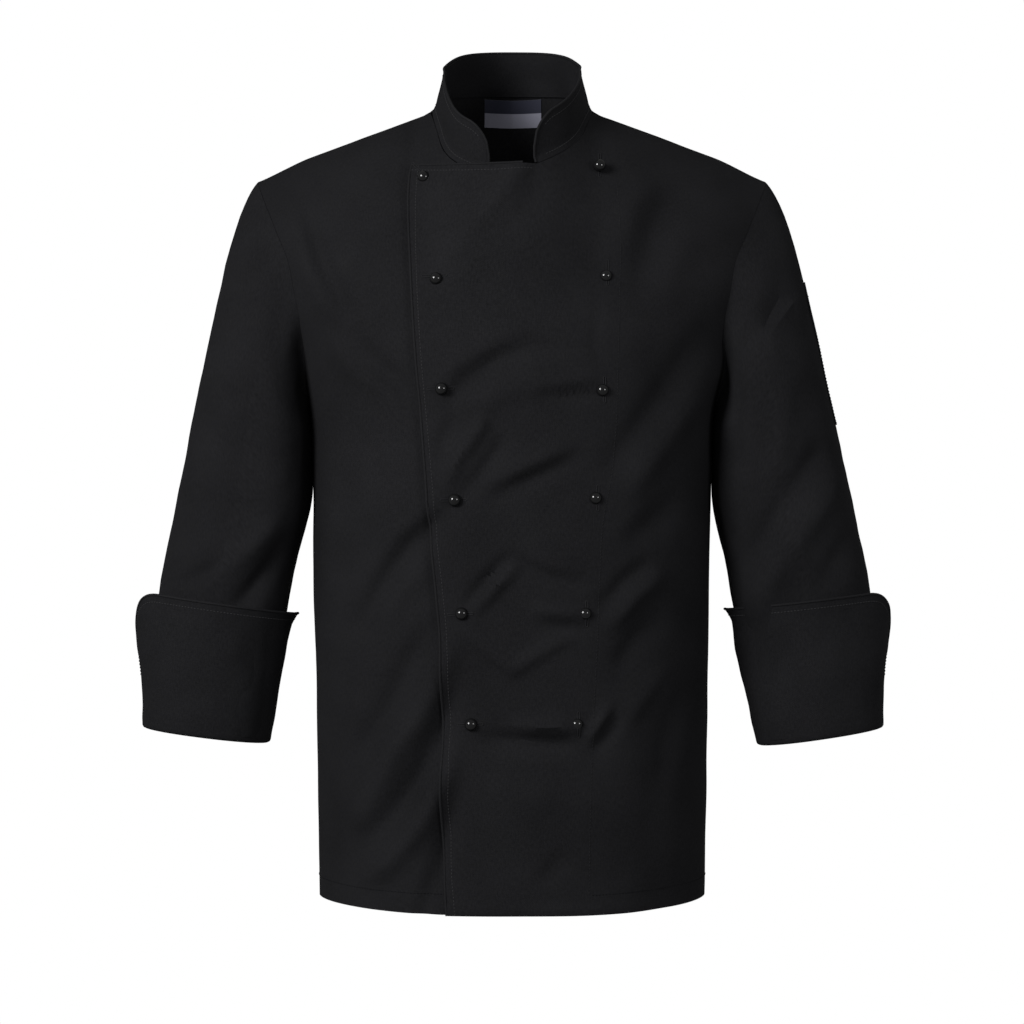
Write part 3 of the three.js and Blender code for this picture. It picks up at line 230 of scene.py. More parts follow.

# %% [markdown]
# ## Folds
# Each fold is a soft ridge, or with a negative height a trough, along a few points seen from the
# front: its width, its height and the points. Laying them one by one keeps every crease where the
# real cloth pulls: from the studs, the armpits and the overlap's edge. The back doesn't show, so
# its folds are a guess. A little noise keeps them from looking drawn.

# %% Fold tables and their heights
FRONT_RIGHT_FOLDS = [
    (10, -4.6, [(-200, -92), (-180, -155), (-148, -210)]),
    (12, 2.4, [(-207, -106), (-189, -166), (-162, -212)]),
    (12, -4.0, [(-172, -200), (-140, -241), (-107, -268), (-88, -298)]),
    (13, 2.0, [(-177, -217), (-149, -250), (-116, -273), (-102, -300)]),
    (13, -4.0, [(-36, -372), (-70, -397), (-96, -420), (-122, -456), (-150, -505)]),
    (12, 2.4, [(-62, -376), (-87, -392), (-106, -408), (-128, -442), (-150, -480)]),
    (15, 2.0, [(-80, -440), (-104, -462), (-124, -500)]),
    (17, -4.6, [(-76, -492), (-94, -526), (-113, -565), (-135, -598), (-157, -643)]),
    (18, 6.0, [(-48, -506), (-68, -542), (-87, -581), (-110, -614), (-132, -659), (-143, -690)]),
    (14, -4.8, [(-46, -550), (-64, -586), (-84, -630), (-111, -669), (-142, -699)]),
    (15, 5.6, [(-46, -605), (-64, -641), (-84, -680), (-111, -713), (-142, -737)]),
    (13, -4.6, [(-40, -640), (-60, -690), (-72, -730), (-84, -770)]),
    (16, 2.0, [(-168, -330), (-176, -430), (-178, -520)]),
    (12, -1.6, [(-150, -300), (-158, -380), (-165, -450)]),
]
FRONT_LEFT_FOLDS = [
    (8, 2.8, [(18, -58), (-8, -88), (-28, -113), (-48, -138), (-64, -156)]),
    (14, -1.8, [(34, -74), (0, -116), (-34, -160)]),
    (11, -4.4, [(-62, -288), (-54, -279), (-38, -263), (-14, -247), (16, -235), (48, -241)]),
    (9, 1.6, [(-68, -270), (-50, -250), (-21, -234), (14, -219)]),
    (16, 2.6, [(-40, -292), (-8, -277), (30, -268)]),
    (7, 2.6, [(22, -270), (54, -268), (82, -266)]),
    (6, -2.6, [(24, -281), (54, -280), (82, -277)]),
    (8, 4.6, [(-66, -370), (-49, -339), (-31, -313), (-24, -300)]),
    (8, -3.2, [(-54, -382), (-31, -355), (-14, -331), (-8, -318)]),
    (8, -2.4, [(-74, -345), (-66, -322), (-48, -294)]),
    (9, 2.6, [(-26, -364), (13, -345), (56, -326)]),
    (9, -3.0, [(-20, -376), (19, -358), (62, -338)]),
    (6, 3.6, [(-36, -482), (-14, -457), (6, -437)]),
    (5.5, -3.4, [(-44, -474), (-22, -448), (-2, -428)]),
    (8, -3.4, [(-2, -430), (32, -448), (68, -456)]),
    (7, 3.4, [(20, -476), (46, -481), (70, -484)]),
    (7, -2.8, [(22, -492), (48, -497), (70, -497)]),
    (8, 2.8, [(-54, -494), (2, -534), (64, -496)]),
    (8, 4.4, [(2, -585), (34, -587), (66, -589)]),
    (9, -4.6, [(-30, -597), (16, -603), (58, -606)]),
    (6, 3.2, [(69, -602), (90, -570)]),
    (8, -2.2, [(76, -612), (100, -576)]),
    (20, 1.4, [(-20, -640), (10, -650), (40, -655)]),
    (12, -1.8, [(26, -735), (50, -705)]),
    (7, -0.8, [(80, -190), (76, -225), (80, -255)]),
    (18, -2.8, [(170, -76), (139, -108), (128, -140), (117, -190)]),
    (16, 2.0, [(137, -74), (115, -96), (104, -130), (94, -172)]),
    (20, 1.6, [(208, -108), (168, -129), (146, -165), (140, -200)]),
    (18, -3.0, [(190, -206), (160, -249), (133, -288), (105, -327), (88, -350)]),
    (19, 5.2, [(204, -232), (182, -265), (155, -304), (127, -343), (106, -370)]),
    (16, -3.4, [(164, -366), (130, -398), (104, -418)]),
    (11, 4.0, [(142, -446), (115, -466), (88, -496)]),
    (11, -2.6, [(132, -432), (105, -452), (82, -478)]),
    (15, -3.4, [(140, -480), (113, -509), (98, -536)]),
    (12, 2.2, [(146, -532), (124, -560), (104, -586)]),
    (14, -1.8, [(172, -540), (150, -580), (140, -640)]),
    (16, 1.2, [(160, -600), (150, -660), (152, -720)]),
]
BACK_FOLDS = [
    (19, -3.6, [(-204, -150), (-150, -205), (-90, -260)]),
    (19, -3.6, [(204, -150), (150, -205), (90, -260)]),
    (15, 2.6, [(-196, -200), (-140, -250), (-70, -290)]),
    (15, 2.6, [(196, -200), (140, -250), (70, -290)]),
    (20, 4.0, [(-178, -330), (-130, -380), (-70, -430)]),
    (20, 4.0, [(178, -330), (130, -390), (80, -450)]),
    (16, -3.0, [(-170, -380), (-120, -430), (-60, -470)]),
    (16, -3.0, [(170, -390), (120, -440), (60, -490)]),
    (20, -4.0, [(-100, -470), (-118, -580), (-130, -700)]),
    (20, 3.5, [(60, -440), (66, -580), (75, -720)]),
    (20, -3.5, [(-20, -520), (-14, -640), (-10, -740)]),
    (15, 2.5, [(-60, -540), (-64, -640), (-66, -730)]),
    (15, -2.5, [(120, -520), (126, -620), (130, -720)]),
]
SLEEVE_LEFT_FOLDS = [
    (8, -6.0, [(276, -142), (256, -178), (238, -208), (222, -228), (206, -246)]),
    (11, 3.8, [(282, -168), (262, -200), (244, -232), (226, -254)]),
    (8, 2.4, [(246, -150), (234, -184), (222, -212)]),
    (11, -2.6, [(212, -250), (212, -300), (208, -350)]),
    (17, -4.0, [(300, -318), (282, -344), (250, -394), (218, -444)]),
    (19, 4.8, [(318, -340), (300, -372), (268, -416), (242, -460), (226, -492)]),
    (14, -2.4, [(330, -400), (308, -432), (290, -466)]),
    (12, 1.6, [(262, -260), (256, -320), (244, -360)]),
    (12, 1.4, [(292, -250), (300, -300), (302, -340)]),
]
SLEEVE_RIGHT_FOLDS = [
    (7, -3.4, [(-250, -96), (-243, -106), (-240, -120)]),
    (8, -5.0, [(-256, -124), (-244, -132), (-228, -138)]),
    (9, 2.6, [(-262, -104), (-252, -130), (-238, -158)]),
    (10, -2.0, [(-214, -160), (-222, -220), (-214, -290)]),
    (14, 1.8, [(-300, -255), (-278, -280), (-255, -305)]),
    (12, -1.6, [(-306, -290), (-280, -318), (-250, -340)]),
    (12, -5.4, [(-206, -408), (-224, -434), (-246, -460), (-268, -486)]),
    (12, 3.4, [(-222, -396), (-248, -424), (-284, -452)]),
    (9, -2.0, [(-262, -424), (-288, -444), (-318, -456)]),
    (12, 2.0, [(-284, -200), (-296, -260), (-300, -320)]),
]
SLEEVE_BACK_FOLDS = [
    (13, -4.2, [(238, -170), (258, -210), (280, -250)]),
    (11, 3.0, [(228, -200), (248, -240), (270, -280)]),
    (13, 4.2, [(222, -330), (256, -356), (292, -380)]),
    (10, -3.4, [(222, -356), (256, -384), (300, -404)]),
    (11, -4.0, [(232, -400), (276, -420), (322, -440)]),
    (10, 3.0, [(236, -428), (280, -446), (326, -462)]),
]
FOLD_STRENGTH = 1.6
FOLD_WIDTH = 0.85
FOLD_LEAN = 0.15  # how much broader a crease is on one side of its line than on the other
FOLD_TURN = 5  # the width changes over about this distance from the line
BROAD_SIDE = (-0.89, 0.46)  # a ridge's, up and to the left from the front; a trough's is opposite
FOLD_END = 0.15  # share of a fold's height that is left at its ends
FOLD_FADE = 0.7


def fold_height(folds, x, z):
    height = np.zeros(np.shape(x))
    for width, top, points in folds:
        near = np.full(np.shape(x), 1e9)
        aside = np.zeros(np.shape(x))
        fade = np.zeros(np.shape(x))
        total = np.full(np.shape(x), 1e-9)
        count = len(points) - 1
        for k in range(count):
            (x0, z0), (x1, z1) = points[k], points[k + 1]
            dx, dz = x1 - x0, z1 - z0
            t = np.clip(((x - x0) * dx + (z - z0) * dz) / (dx * dx + dz * dz), 0, 1)
            away = np.hypot(x - x0 - t * dx, z - z0 - t * dz)
            towards = (x - x0 - t * dx) * BROAD_SIDE[0] + (z - z0 - t * dz) * BROAD_SIDE[1]
            aside = np.where(away < near, towards, aside)
            near = np.minimum(near, away)
            share = np.exp(-((away / width) ** 2))
            fade += share * np.sin(math.pi * (k + t) / count) ** FOLD_FADE
            total += share
        lean = 1 + FOLD_LEAN * np.sign(top) * np.tanh(aside / FOLD_TURN)
        crest = np.exp(-((near / (width * FOLD_WIDTH * lean)) ** 2))
        height += FOLD_STRENGTH * top * (FOLD_END + (1 - FOLD_END) * fade / total) * crest
    return height


def rumple(points, size, seed):
    """Gentle unevenness of worn cloth, between about -1 and 1."""
    flat = points.reshape(-1, 3) / size
    shift = Vector((seed * 7.3, seed * 3.1, seed * 5.7))
    values = [noise.noise(Vector(p) + shift) for p in flat]
    return np.array(values).reshape(points.shape[:-1])


print("folds on the fronts:", len(FRONT_RIGHT_FOLDS) + len(FRONT_LEFT_FOLDS))

# %% [markdown]
# ## From a grid of points to cloth
# A panel is a grid of points across the cloth and up it. Blender's Solidify modifier then gives
# it the thickness of twill, which is quicker and safer than building both faces by hand. The
# UV map is laid out in metres, so that a weave drawn on it has its real size.

# %% Grids, normals and cloth objects
def grid_normals(points, ring, outward):
    if ring:
        across = np.roll(points, -1, axis=1) - np.roll(points, 1, axis=1)
    else:
        across = np.gradient(points, axis=1)
    normals = np.cross(across, np.gradient(points, axis=0)) * outward
    return normals / np.maximum(np.linalg.norm(normals, axis=-1, keepdims=True), 1e-9)


def grid_quads(rows, columns, ring, outward, left_out=None):
    quads = []
    for i in range(rows - 1):
        for j in range(columns if ring else columns - 1):
            if left_out and left_out(i, j):
                continue
            k = (j + 1) % columns
            quad = (i * columns + j, i * columns + k, (i + 1) * columns + k, (i + 1) * columns + j)
            quads.append(quad if outward > 0 else quad[::-1])
    return quads


def cloth_object(name, points, uv, outward, thickness, ring=False, left_out=None):
    rows, columns = points.shape[:2]
    mesh = bpy.data.meshes.new(name)
    quads = grid_quads(rows, columns, ring, outward, left_out)
    mesh.from_pydata((points.reshape(-1, 3) * MM).tolist(), [], quads)
    layer = mesh.uv_layers.new(name="cloth")
    flat = uv.reshape(-1, 2) * MM
    girth = flat[columns - 1][0] + (flat[1][0] - flat[0][0]) if ring else 0
    for face in mesh.polygons:
        corners = [mesh.loops[k].vertex_index for k in face.loop_indices]
        wraps = ring and {0, columns - 1} <= {c % columns for c in corners}
        for k, corner in zip(face.loop_indices, corners):
            u, v = flat[corner]
            layer.data[k].uv = (u + girth if wraps and corner % columns == 0 else u, v)
    mesh.shade_smooth()
    piece = bpy.data.objects.new(name, mesh)
    bpy.context.collection.objects.link(piece)
    wall = piece.modifiers.new("cloth thickness", "SOLIDIFY")
    wall.thickness = thickness * MM
    wall.offset = -1
    bpy.context.view_layer.objects.active = piece
    piece.select_set(True)
    bpy.ops.object.modifier_apply(modifier=wall.name)
    bpy.ops.object.shade_smooth_by_angle(angle=math.radians(50))
    piece.select_set(False)
    return piece


RELAX_FROM = 0.06  # share of the rows below the ones that are evened out
RELAX_BLEND = 0.25
RELAX_TOP = 0.02  # share of the rows that are held at the top
RELAX_PASSES = 110


def patch(bottom, top, left, right):
    s = np.linspace(0, 1, len(bottom))[None, :, None]
    t = np.linspace(0, 1, len(left))[:, None, None]
    places = (
        (1 - t) * bottom[None] + t * top[None] + (1 - s) * left[:, None] + s * right[:, None]
        - (1 - s) * (1 - t) * bottom[0] - s * (1 - t) * bottom[-1]
        - (1 - s) * t * top[0] - s * t * top[-1]
    )
    weight = smooth((t[1:-1] - RELAX_FROM) / RELAX_BLEND) * smooth((1 - t[1:-1]) / RELAX_TOP)
    for _ in range(RELAX_PASSES):
        beside = places[1:-1, :-2] + places[1:-1, 2:] + places[:-2, 1:-1] + places[2:, 1:-1]
        places[1:-1, 1:-1] += weight * (beside / 4 - places[1:-1, 1:-1])
    return places


# %% [markdown]
# ## The two fronts and the back
# The wearer's left front lies over the right one with a lift of a few millimetres, more at its
# top edge, where it passes in front of the collar's end. Each panel is filled in between its
# hem, side seam, armhole, shoulder seam, neck seam and free edge.

# %% Edges of the panels
FINE = 5  # points here for each point of the solids
ROWS, SIDE_ROWS, ARMHOLE_ROWS = 28, 17, 11
FREE_COLUMNS, NECK_COLUMNS, SHOULDER_COLUMNS = 5, 6, 7
BACK_NECK_COLUMNS, BACK_SHOULDER_COLUMNS = 8, 5
OVERLAP_CORNER_Z = -61
OVERLAP_TOP_SAG = 1.5
UNDERLAP_CORNER_Z = -71
BACK_NECK_DEPTH = 24
BACK_NECK_ROUNDING = 0.8
OVERLAP_LIFT = 2.6
LIFT_END_X, LIFT_FADE_X = 104, 40  # the lift fades out beyond this x, over this distance
LIFT_END_LEVEL, LIFT_FADE_LEVEL = -60, 120
OVERLAP_TOP_LIFT = 3
TOP_LIFT_Z, TOP_LIFT_RISE = -110, 45
TOP_LIFT_X, TOP_LIFT_FADE = 5, 18
UNDERLAP_SINK = 4
EDGE_BLEND = 30
EDGE_GROOVE = 2.2
EDGE_GROOVE_WIDTH = 8
HEM_ROLL = 1.6
HEM_ROLL_RISE = 5
FRONT_RUMPLE, FRONT_RUMPLE_SIZE = 0.7, 46
BACK_RUMPLE, BACK_RUMPLE_SIZE = 0.8, 50


def armhole_place(face, share):
    """Place on the armhole seam, from 0 at the armpit to 1 at the shoulder's tip."""
    share = np.asarray(share, float)
    tip = shoulder_z(SHOULDER_TIP_X)
    z = ARMPIT_Z + (tip - ARMPIT_Z) * (1 - np.cos(math.pi * share)) / 2
    x = np.minimum(curve(armhole_seam, "z", face)(z), SHOULDER_TIP_X)
    place = place_of(x, z)
    place[share <= 0] = (1, ARMPIT_Z)
    place[share >= 1, 1] = SEAM_LEVEL
    return place


def side_edge(face):
    i = np.arange(SIDE_ROWS * FINE) / FINE
    above = (ARMPIT_Z - HEM_SIDE_Z - HEM_HEIGHT) * (i - 1) / (SIDE_ROWS - 1)
    z = np.where(i < 1, HEM_SIDE_Z + HEM_HEIGHT * i, HEM_SIDE_Z + HEM_HEIGHT + above)
    seam = np.stack([np.ones(len(z)), z], axis=-1)
    return np.concatenate([seam, armhole_place(face, np.linspace(0, 1, ARMHOLE_ROWS * FINE + 1))])


def shoulder_edge(count):
    x = NECK_POINT_X + (SHOULDER_TIP_X - NECK_POINT_X) * np.arange(1, count + 1) / count
    turn = place_of(x, shoulder_z(x))[:, 0]
    return np.stack([turn, np.full(count, SEAM_LEVEL)], axis=-1)


def neck_line(side, count):
    """Points along the neck seam of a front, from the collar's end to the shoulder seam."""
    points = np.array(NECK_SEAM[side])
    rows = {"k": np.arange(len(points), dtype=float), "x": points[:, 0], "z": points[:, 1]}
    k = np.linspace(0, len(points) - 1, count)
    return np.stack([curve(rows, "k", "x")(k), curve(rows, "k", "z")(k)], axis=-1)


def front_places(edge, side, corner_z, sag):
    columns = (FREE_COLUMNS + NECK_COLUMNS + SHOULDER_COLUMNS) * FINE
    s = np.linspace(0, 1, columns + 1)
    start = place_of(-edge(HEM_MIDDLE_Z), HEM_MIDDLE_Z)[0]
    hem = HEM_MIDDLE_Z + (HEM_SIDE_Z - HEM_MIDDLE_Z) * smooth((s - HEM_LEVEL_SHARE) / (1 - HEM_LEVEL_SHARE))
    bottom = np.stack([start + (1 - start) * s, hem], axis=-1)
    z = np.linspace(HEM_MIDDLE_Z, corner_z, ROWS * FINE + 1)
    left = place_of(-edge(z), z)
    neck = neck_line(side, NECK_COLUMNS * FINE + 1)
    t = np.arange(FREE_COLUMNS * FINE) / (FREE_COLUMNS * FINE)
    x0 = -edge(corner_z)
    free = place_of(
        x0 + (neck[0, 0] - x0) * t,
        corner_z + (neck[0, 1] - corner_z) * t - sag * np.sin(math.pi * t),
    )
    along = place_of(neck[:, 0], neck[:, 1])
    along[-1] = (place_of(NECK_POINT_X, shoulder_z(NECK_POINT_X))[0], SEAM_LEVEL)
    top = np.concatenate([free, along, shoulder_edge(SHOULDER_COLUMNS * FINE)])
    left[0], left[-1] = bottom[0], top[0]
    return patch(bottom, top, left, side_edge("front"))


# %% Lift and folds of each panel
def left_outset(p, place):
    x, z = p[..., 0], p[..., 2]
    covers = 1 - smooth((x - LIFT_END_X) / LIFT_FADE_X)
    below = 1 - smooth((place[..., 1] - LIFT_END_LEVEL) / LIFT_FADE_LEVEL)
    shared = 1 - smooth((x + overlap_x(z)) / EDGE_BLEND)
    top = smooth((z - TOP_LIFT_Z) / TOP_LIFT_RISE) * (1 - smooth((x - TOP_LIFT_X) / TOP_LIFT_FADE))
    own = fold_height(FRONT_LEFT_FOLDS, x, z) * (1 - shared)
    under = fold_height(FRONT_RIGHT_FOLDS, x, z) * shared
    roll = HEM_ROLL * np.exp(-(((z - HEM_MIDDLE_Z - HEM_ROLL_RISE) / HEM_ROLL_RISE) ** 2)) * covers
    lift = OVERLAP_LIFT * covers * below + OVERLAP_TOP_LIFT * top
    return lift + own + under + roll + FRONT_RUMPLE * rumple(p, FRONT_RUMPLE_SIZE, 1)


def right_outset(p, place):
    x, z = p[..., 0], p[..., 2]
    hidden = smooth((x + overlap_x(z)) / EDGE_BLEND)
    folds = fold_height(FRONT_RIGHT_FOLDS, x, z) + FRONT_RUMPLE * rumple(p, FRONT_RUMPLE_SIZE, 1)
    groove = EDGE_GROOVE * np.exp(-(((x + overlap_x(z)) / EDGE_GROOVE_WIDTH) ** 2))
    return folds * (1 - hidden) - UNDERLAP_SINK * hidden - groove


def back_outset(p, place):
    folds = fold_height(BACK_FOLDS, p[..., 0], p[..., 2])
    return folds + BACK_RUMPLE * rumple(p, BACK_RUMPLE_SIZE, 2)


NEAR_TURN = 0.002  # half the step over which the body's slope is measured
PLANE_TURN = 0.999  # from this turn on a place lies on the plane of the side seams


def skin(face, places, outset):
    """Outer surface of a panel, with half a seam's gap at the plane of the side seams."""
    towards = -1 if face == "front" else 1
    turn, level = places[..., 0], places[..., 1]
    base = body_point(face, turn, level)
    ahead = body_point(face, turn + NEAR_TURN, level)
    across = ahead - body_point(face, turn - NEAR_TURN, level)
    up = body_point(face, turn, level + 1) - body_point(face, turn, level - 1)
    normals = np.cross(across, up) * -towards
    on_plane = (np.abs(turn) > PLANE_TURN) | (level > SEAM_LEVEL - 0.01)
    normals[on_plane, 1] = 0
    normals /= np.maximum(np.linalg.norm(normals, axis=-1, keepdims=True), 1e-9)
    points = base + normals * outset(base, places)[..., None]
    past = points[..., 1] * towards < SEAM / 2
    points[..., 1] = np.where(past, towards * SEAM / 2, points[..., 1])
    points[on_plane, 1] = towards * SEAM / 2
    return points


# %% Make the panels
CLOTH = 1.4
HALF_GIRTH = 270


def panel(name, face, places, outset):
    points = skin(face, places, outset)
    uv = np.stack([places[..., 0] * HALF_GIRTH, places[..., 1]], axis=-1)
    outward = 1 if face == "front" else -1
    piece = cloth_object(name, points, uv, outward, CLOTH)
    return piece, points, grid_normals(points, False, outward)


def mirrored(places):
    return (places * (-1, 1))[:, ::-1]


def back_places():
    right = side_edge("back")
    count = (BACK_NECK_COLUMNS + 2 * BACK_SHOULDER_COLUMNS) * FINE
    turns = np.linspace(-1, 1, count + 1)
    bottom = np.stack([turns, np.full(count + 1, HEM_SIDE_Z)], axis=-1)
    half = shoulder_edge(BACK_SHOULDER_COLUMNS * FINE)
    angle = np.linspace(-math.pi / 2, math.pi / 2, BACK_NECK_COLUMNS * FINE + 1)
    x = NECK_POINT_X * np.sin(angle)
    dip = np.maximum(0, np.cos(angle)) ** BACK_NECK_ROUNDING
    z = np.minimum(BACK_NECK_DEPTH * dip, shoulder_z(x))
    neck = place_of(x, z)
    end = place_of(NECK_POINT_X, shoulder_z(NECK_POINT_X))[0]
    neck[0], neck[-1] = (-end, SEAM_LEVEL), (end, SEAM_LEVEL)
    top = np.concatenate([(half * (-1, 1))[::-1], neck, half])
    return patch(bottom, top, right * (-1, 1), right)


left_places = front_places(overlap_x, "left", OVERLAP_CORNER_Z, OVERLAP_TOP_SAG)
right_places = mirrored(front_places(underlap_x, "right", UNDERLAP_CORNER_Z, 0))
front_left, left_points, left_normals = panel("left_front", "front", left_places, left_outset)
front_right, right_points, right_normals = panel("right_front", "front", right_places, right_outset)
back_panel, back_points, back_normals = panel("back_panel", "back", back_places(), back_outset)
print("points in a front:", left_points.shape[0] * left_points.shape[1])

# %% [markdown]
# ## Sleeves
# A sleeve is a tube set into the armhole. Its first ring is the armhole seam itself, and smooth
# curves lead from there to tilted oval sections down the arm. At the top they leave the seam
# over the shoulder, and under the arm they fold over close to the side. Each section gives its
# outer point's x and z, its inner point's, how far it reaches to the front and back, and on a
# cuff how round its outer side is.

# %% Sleeve sections
SLEEVE_SECTIONS = {
    "left": [
        (299, -243, 193.4, -316, -80, 74),
        (312, -302, 193.5, -348, -77, 70),
        (324, -354, 194.8, -383, -74, 65),
        (335, -408, 205.5, -430, -71, 59),
        (345.5, -458, 214.5, -478, -67, 53),
        (351, -520, 225.5, -540, -62, 46),
        (356, -591, 239.5, -607.5, -57, 41),
    ],
    "right": [
        (297, -243, 193.4, -316, -80, 74),
        (309.5, -302, 193.5, -348, -77, 70),
        (319.5, -354, 194.8, -383, -74, 65),
        (330, -408, 207, -430, -71, 59),
        (340, -458, 217.5, -478, -67, 53),
        (347.5, -520, 226.5, -540, -62, 46),
        (354, -590, 236, -605, -57, 41),
    ],
}
CUFF_SECTIONS = {
    "left": [
        (359, -593, 236.5, -610.5, -61, 45, 2.2),
        (359.7, -551, 226, -567, -65, 49, 1.95),
        (363.8, -509, 217, -524, -69, 53, 1.65),
        (368.5, -464, 210, -482, -74, 58, 1.4),
    ],
    "right": [
        (357, -593, 233.5, -608, -61, 45, 2.2),
        (358.3, -551, 227, -566, -65, 49, 1.95),
        (361.5, -509, 219.5, -526, -69, 53, 1.65),
        (365.5, -464, 211.5, -486, -74, 58, 1.4),
    ],
}
SLEEVE_ROUNDING = 2.2
INNER_ROUNDING = 3.8  # a sleeve is flatter on the side that lies against the body
AROUND = 110


def section_points(row, side, angle):
    """A tilted oval loop. Angle 0 is outermost and a quarter turn is at the front."""
    outer_x, outer_z, inner_x, inner_z, front, back = row[:6]
    is_cuff = len(row) > 6
    outside, inside = (row[6], SLEEVE_ROUNDING) if is_cuff else (SLEEVE_ROUNDING, INNER_ROUNDING)
    rounding = np.where(np.cos(angle) > 0, outside, inside)
    out = np.sign(np.cos(angle)) * np.abs(np.cos(angle)) ** (2 / rounding)
    fore = np.sign(np.sin(angle)) * np.abs(np.sin(angle)) ** (2 / SLEEVE_ROUNDING)
    x = (outer_x + inner_x) / 2 + (outer_x - inner_x) / 2 * out
    z = (outer_z + inner_z) / 2 + (outer_z - inner_z) / 2 * out
    y = (front + back) / 2 - (back - front) / 2 * fore
    return np.stack([side * x, y, z], axis=-1)


def between_sections(rows, side, angle, steps):
    """Rings between the sections, on a smooth line through them for each angle."""
    loops = np.array([section_points(row, side, angle) for row in rows])
    last = len(loops) - 1
    rings = []
    for k in range(last):
        a, b = loops[max(k - 1, 0)], loops[k]
        c, d = loops[k + 1], loops[min(k + 2, last)]
        for t in np.arange(steps) / steps:
            rings.append(
                (2 * b + (c - a) * t + (2 * a - 5 * b + 4 * c - d) * t**2
                 + (3 * b - a - 3 * c + d) * t**3) / 2
            )
    rings.append(loops[last])
    return np.array(rings)


def unit(v):
    return v / np.maximum(np.linalg.norm(v, axis=-1, keepdims=True), 1e-9)


SEAM_LOWEST, SEAM_FROM, SEAM_TO = 0.0004, 0.0005, 0.9995  # shares just short of the seam's ends
SEAM_INSIDE = 0.012  # how far inside the seam, and how far down it, its slope is measured
SEAM_BELOW = 0.01
FACES_UP = 0.6  # a normal that points against the way out and up by FACES_IN is turned over
FACES_IN = -0.2


def armhole_loop(side, front_outset):
    """The armhole seam and its outward normals, from the shoulder's tip down the front and up."""
    share = np.arange(AROUND) / AROUND * 2
    fore = share <= 1
    points = np.zeros((AROUND, 3))
    normals = np.zeros((AROUND, 3))
    for face, part, up in (("front", fore, 1 - share), ("back", ~fore, share - 1)):
        outset = front_outset if face == "front" else back_outset
        rise = np.clip(up[part], SEAM_FROM, SEAM_TO)
        edge = armhole_place(face, rise) * (side, 1)
        inside = edge - (side * SEAM_INSIDE, 0)
        lower = armhole_place(face, np.clip(rise - SEAM_BELOW, SEAM_LOWEST, 1)) * (side, 1)
        here, near, low = (skin(face, p, outset) for p in (edge, inside, lower))
        points[part] = here
        turn = np.cross(here - near, here - low) * side
        normals[part] = unit(turn * (-1 if face == "back" else 1))
    flip = np.sum(normals * np.array([side, 0, FACES_UP]), axis=-1) < FACES_IN
    normals[flip] *= -1
    return points, normals


CAP_REACH = {"middle": 25, "low": -19, "high": 10}  # how far the cloth leaves the seam straight
CAP_HOLD = {"middle": 0.25, "low": 0.75, "high": 0.25}  # how square to the seam it does so
CAP_ARRIVE = 0.33
CAP_ARRIVE_LOW = 0.2
CAP_STEPS = np.array([0, 0.02, 0.05, 0.09, 0.14, 0.2, 0.27, 0.35, 0.44, 0.53, 0.62, 0.72, 0.82, 0.91])
SECTION_STEPS = 12


def sleeve_points(side, name, front_outset):
    angle = np.arange(AROUND) / AROUND * 2 * math.pi
    start, normal = armhole_loop(side, front_outset)
    onward = unit(np.cross(np.roll(start, -1, 0) - np.roll(start, 1, 0), normal)) * -side
    rows = SLEEVE_SECTIONS[name]
    first = section_points(rows[0], side, angle)
    second = section_points(rows[1], side, angle)
    chord = first - start
    length = np.linalg.norm(chord, axis=-1, keepdims=True)
    low = (np.maximum(0, -np.cos(angle)) ** 2)[:, None]
    high = (np.maximum(0, np.cos(angle)) ** 2)[:, None]
    hold = CAP_HOLD["middle"] + CAP_HOLD["low"] * low + CAP_HOLD["high"] * high
    leave = unit(onward * hold + unit(chord) * (1 - hold))
    a = start + onward * SEAM
    b = start + leave * (CAP_REACH["middle"] + CAP_REACH["low"] * low + CAP_REACH["high"] * high)
    c = first - unit(second - first) * CAP_ARRIVE * length * (1 - CAP_ARRIVE_LOW * low)
    cap = [
        a * (1 - t) ** 3 + 3 * b * t * (1 - t) ** 2 + 3 * c * t * t * (1 - t) + first * t**3
        for t in CAP_STEPS
    ]
    return np.concatenate([np.array(cap), between_sections(rows, side, angle, SECTION_STEPS)])


SLEEVE_GIRTH = 400  # for the weave's scale round the sleeve
FOLD_FACING = 1.4  # how soon folds fade as the cloth turns sideways
FOLD_FIRST_RING, FOLD_RINGS = 3, 9  # folds grow over these rings below the armhole
RIPPLE, RIPPLE_SIZE, RIPPLE_RINGS = 0.9, 40, 10
FINE_RIPPLE, FINE_RIPPLE_SIZE = 0.4, 15


def sleeve(name, side, own_folds, front_outset, seed):
    plain = sleeve_points(side, name, front_outset)
    normals = grid_normals(plain, True, side)
    fore = normals[..., 1] < 0
    x = np.where(fore, plain[..., 0], np.abs(plain[..., 0]))
    z = plain[..., 2]
    heights = np.where(fore, fold_height(own_folds, x, z), fold_height(SLEEVE_BACK_FOLDS, x, z))
    row = np.arange(len(plain))[:, None]
    show = smooth(np.abs(normals[..., 1]) * FOLD_FACING)
    show = show * smooth((row - FOLD_FIRST_RING) / FOLD_RINGS)
    ripple = RIPPLE * rumple(plain, RIPPLE_SIZE, seed)
    ripple = ripple + FINE_RIPPLE * rumple(plain, FINE_RIPPLE_SIZE, seed + 5)
    ripple = ripple * smooth(row / RIPPLE_RINGS)
    points = plain + normals * (heights * show + ripple)[..., None]
    down = np.cumsum(np.linalg.norm(np.diff(points, axis=0, prepend=points[:1]), axis=-1), axis=0)
    around = np.broadcast_to(np.arange(AROUND) / AROUND * SLEEVE_GIRTH, down.shape)
    uv = np.stack([around, -down], -1)
    piece = cloth_object(f"{name}_sleeve", points, uv, side, CLOTH, ring=True)
    return piece, points


sleeve_left, sleeve_left_points = sleeve("left", 1, SLEEVE_LEFT_FOLDS, left_outset, 3)
sleeve_right, sleeve_right_points = sleeve("right", -1, SLEEVE_RIGHT_FOLDS, right_outset, 4)
sleeve_left_normals = grid_normals(sleeve_left_points, True, 1)
print("rings in a sleeve:", len(sleeve_left_points))

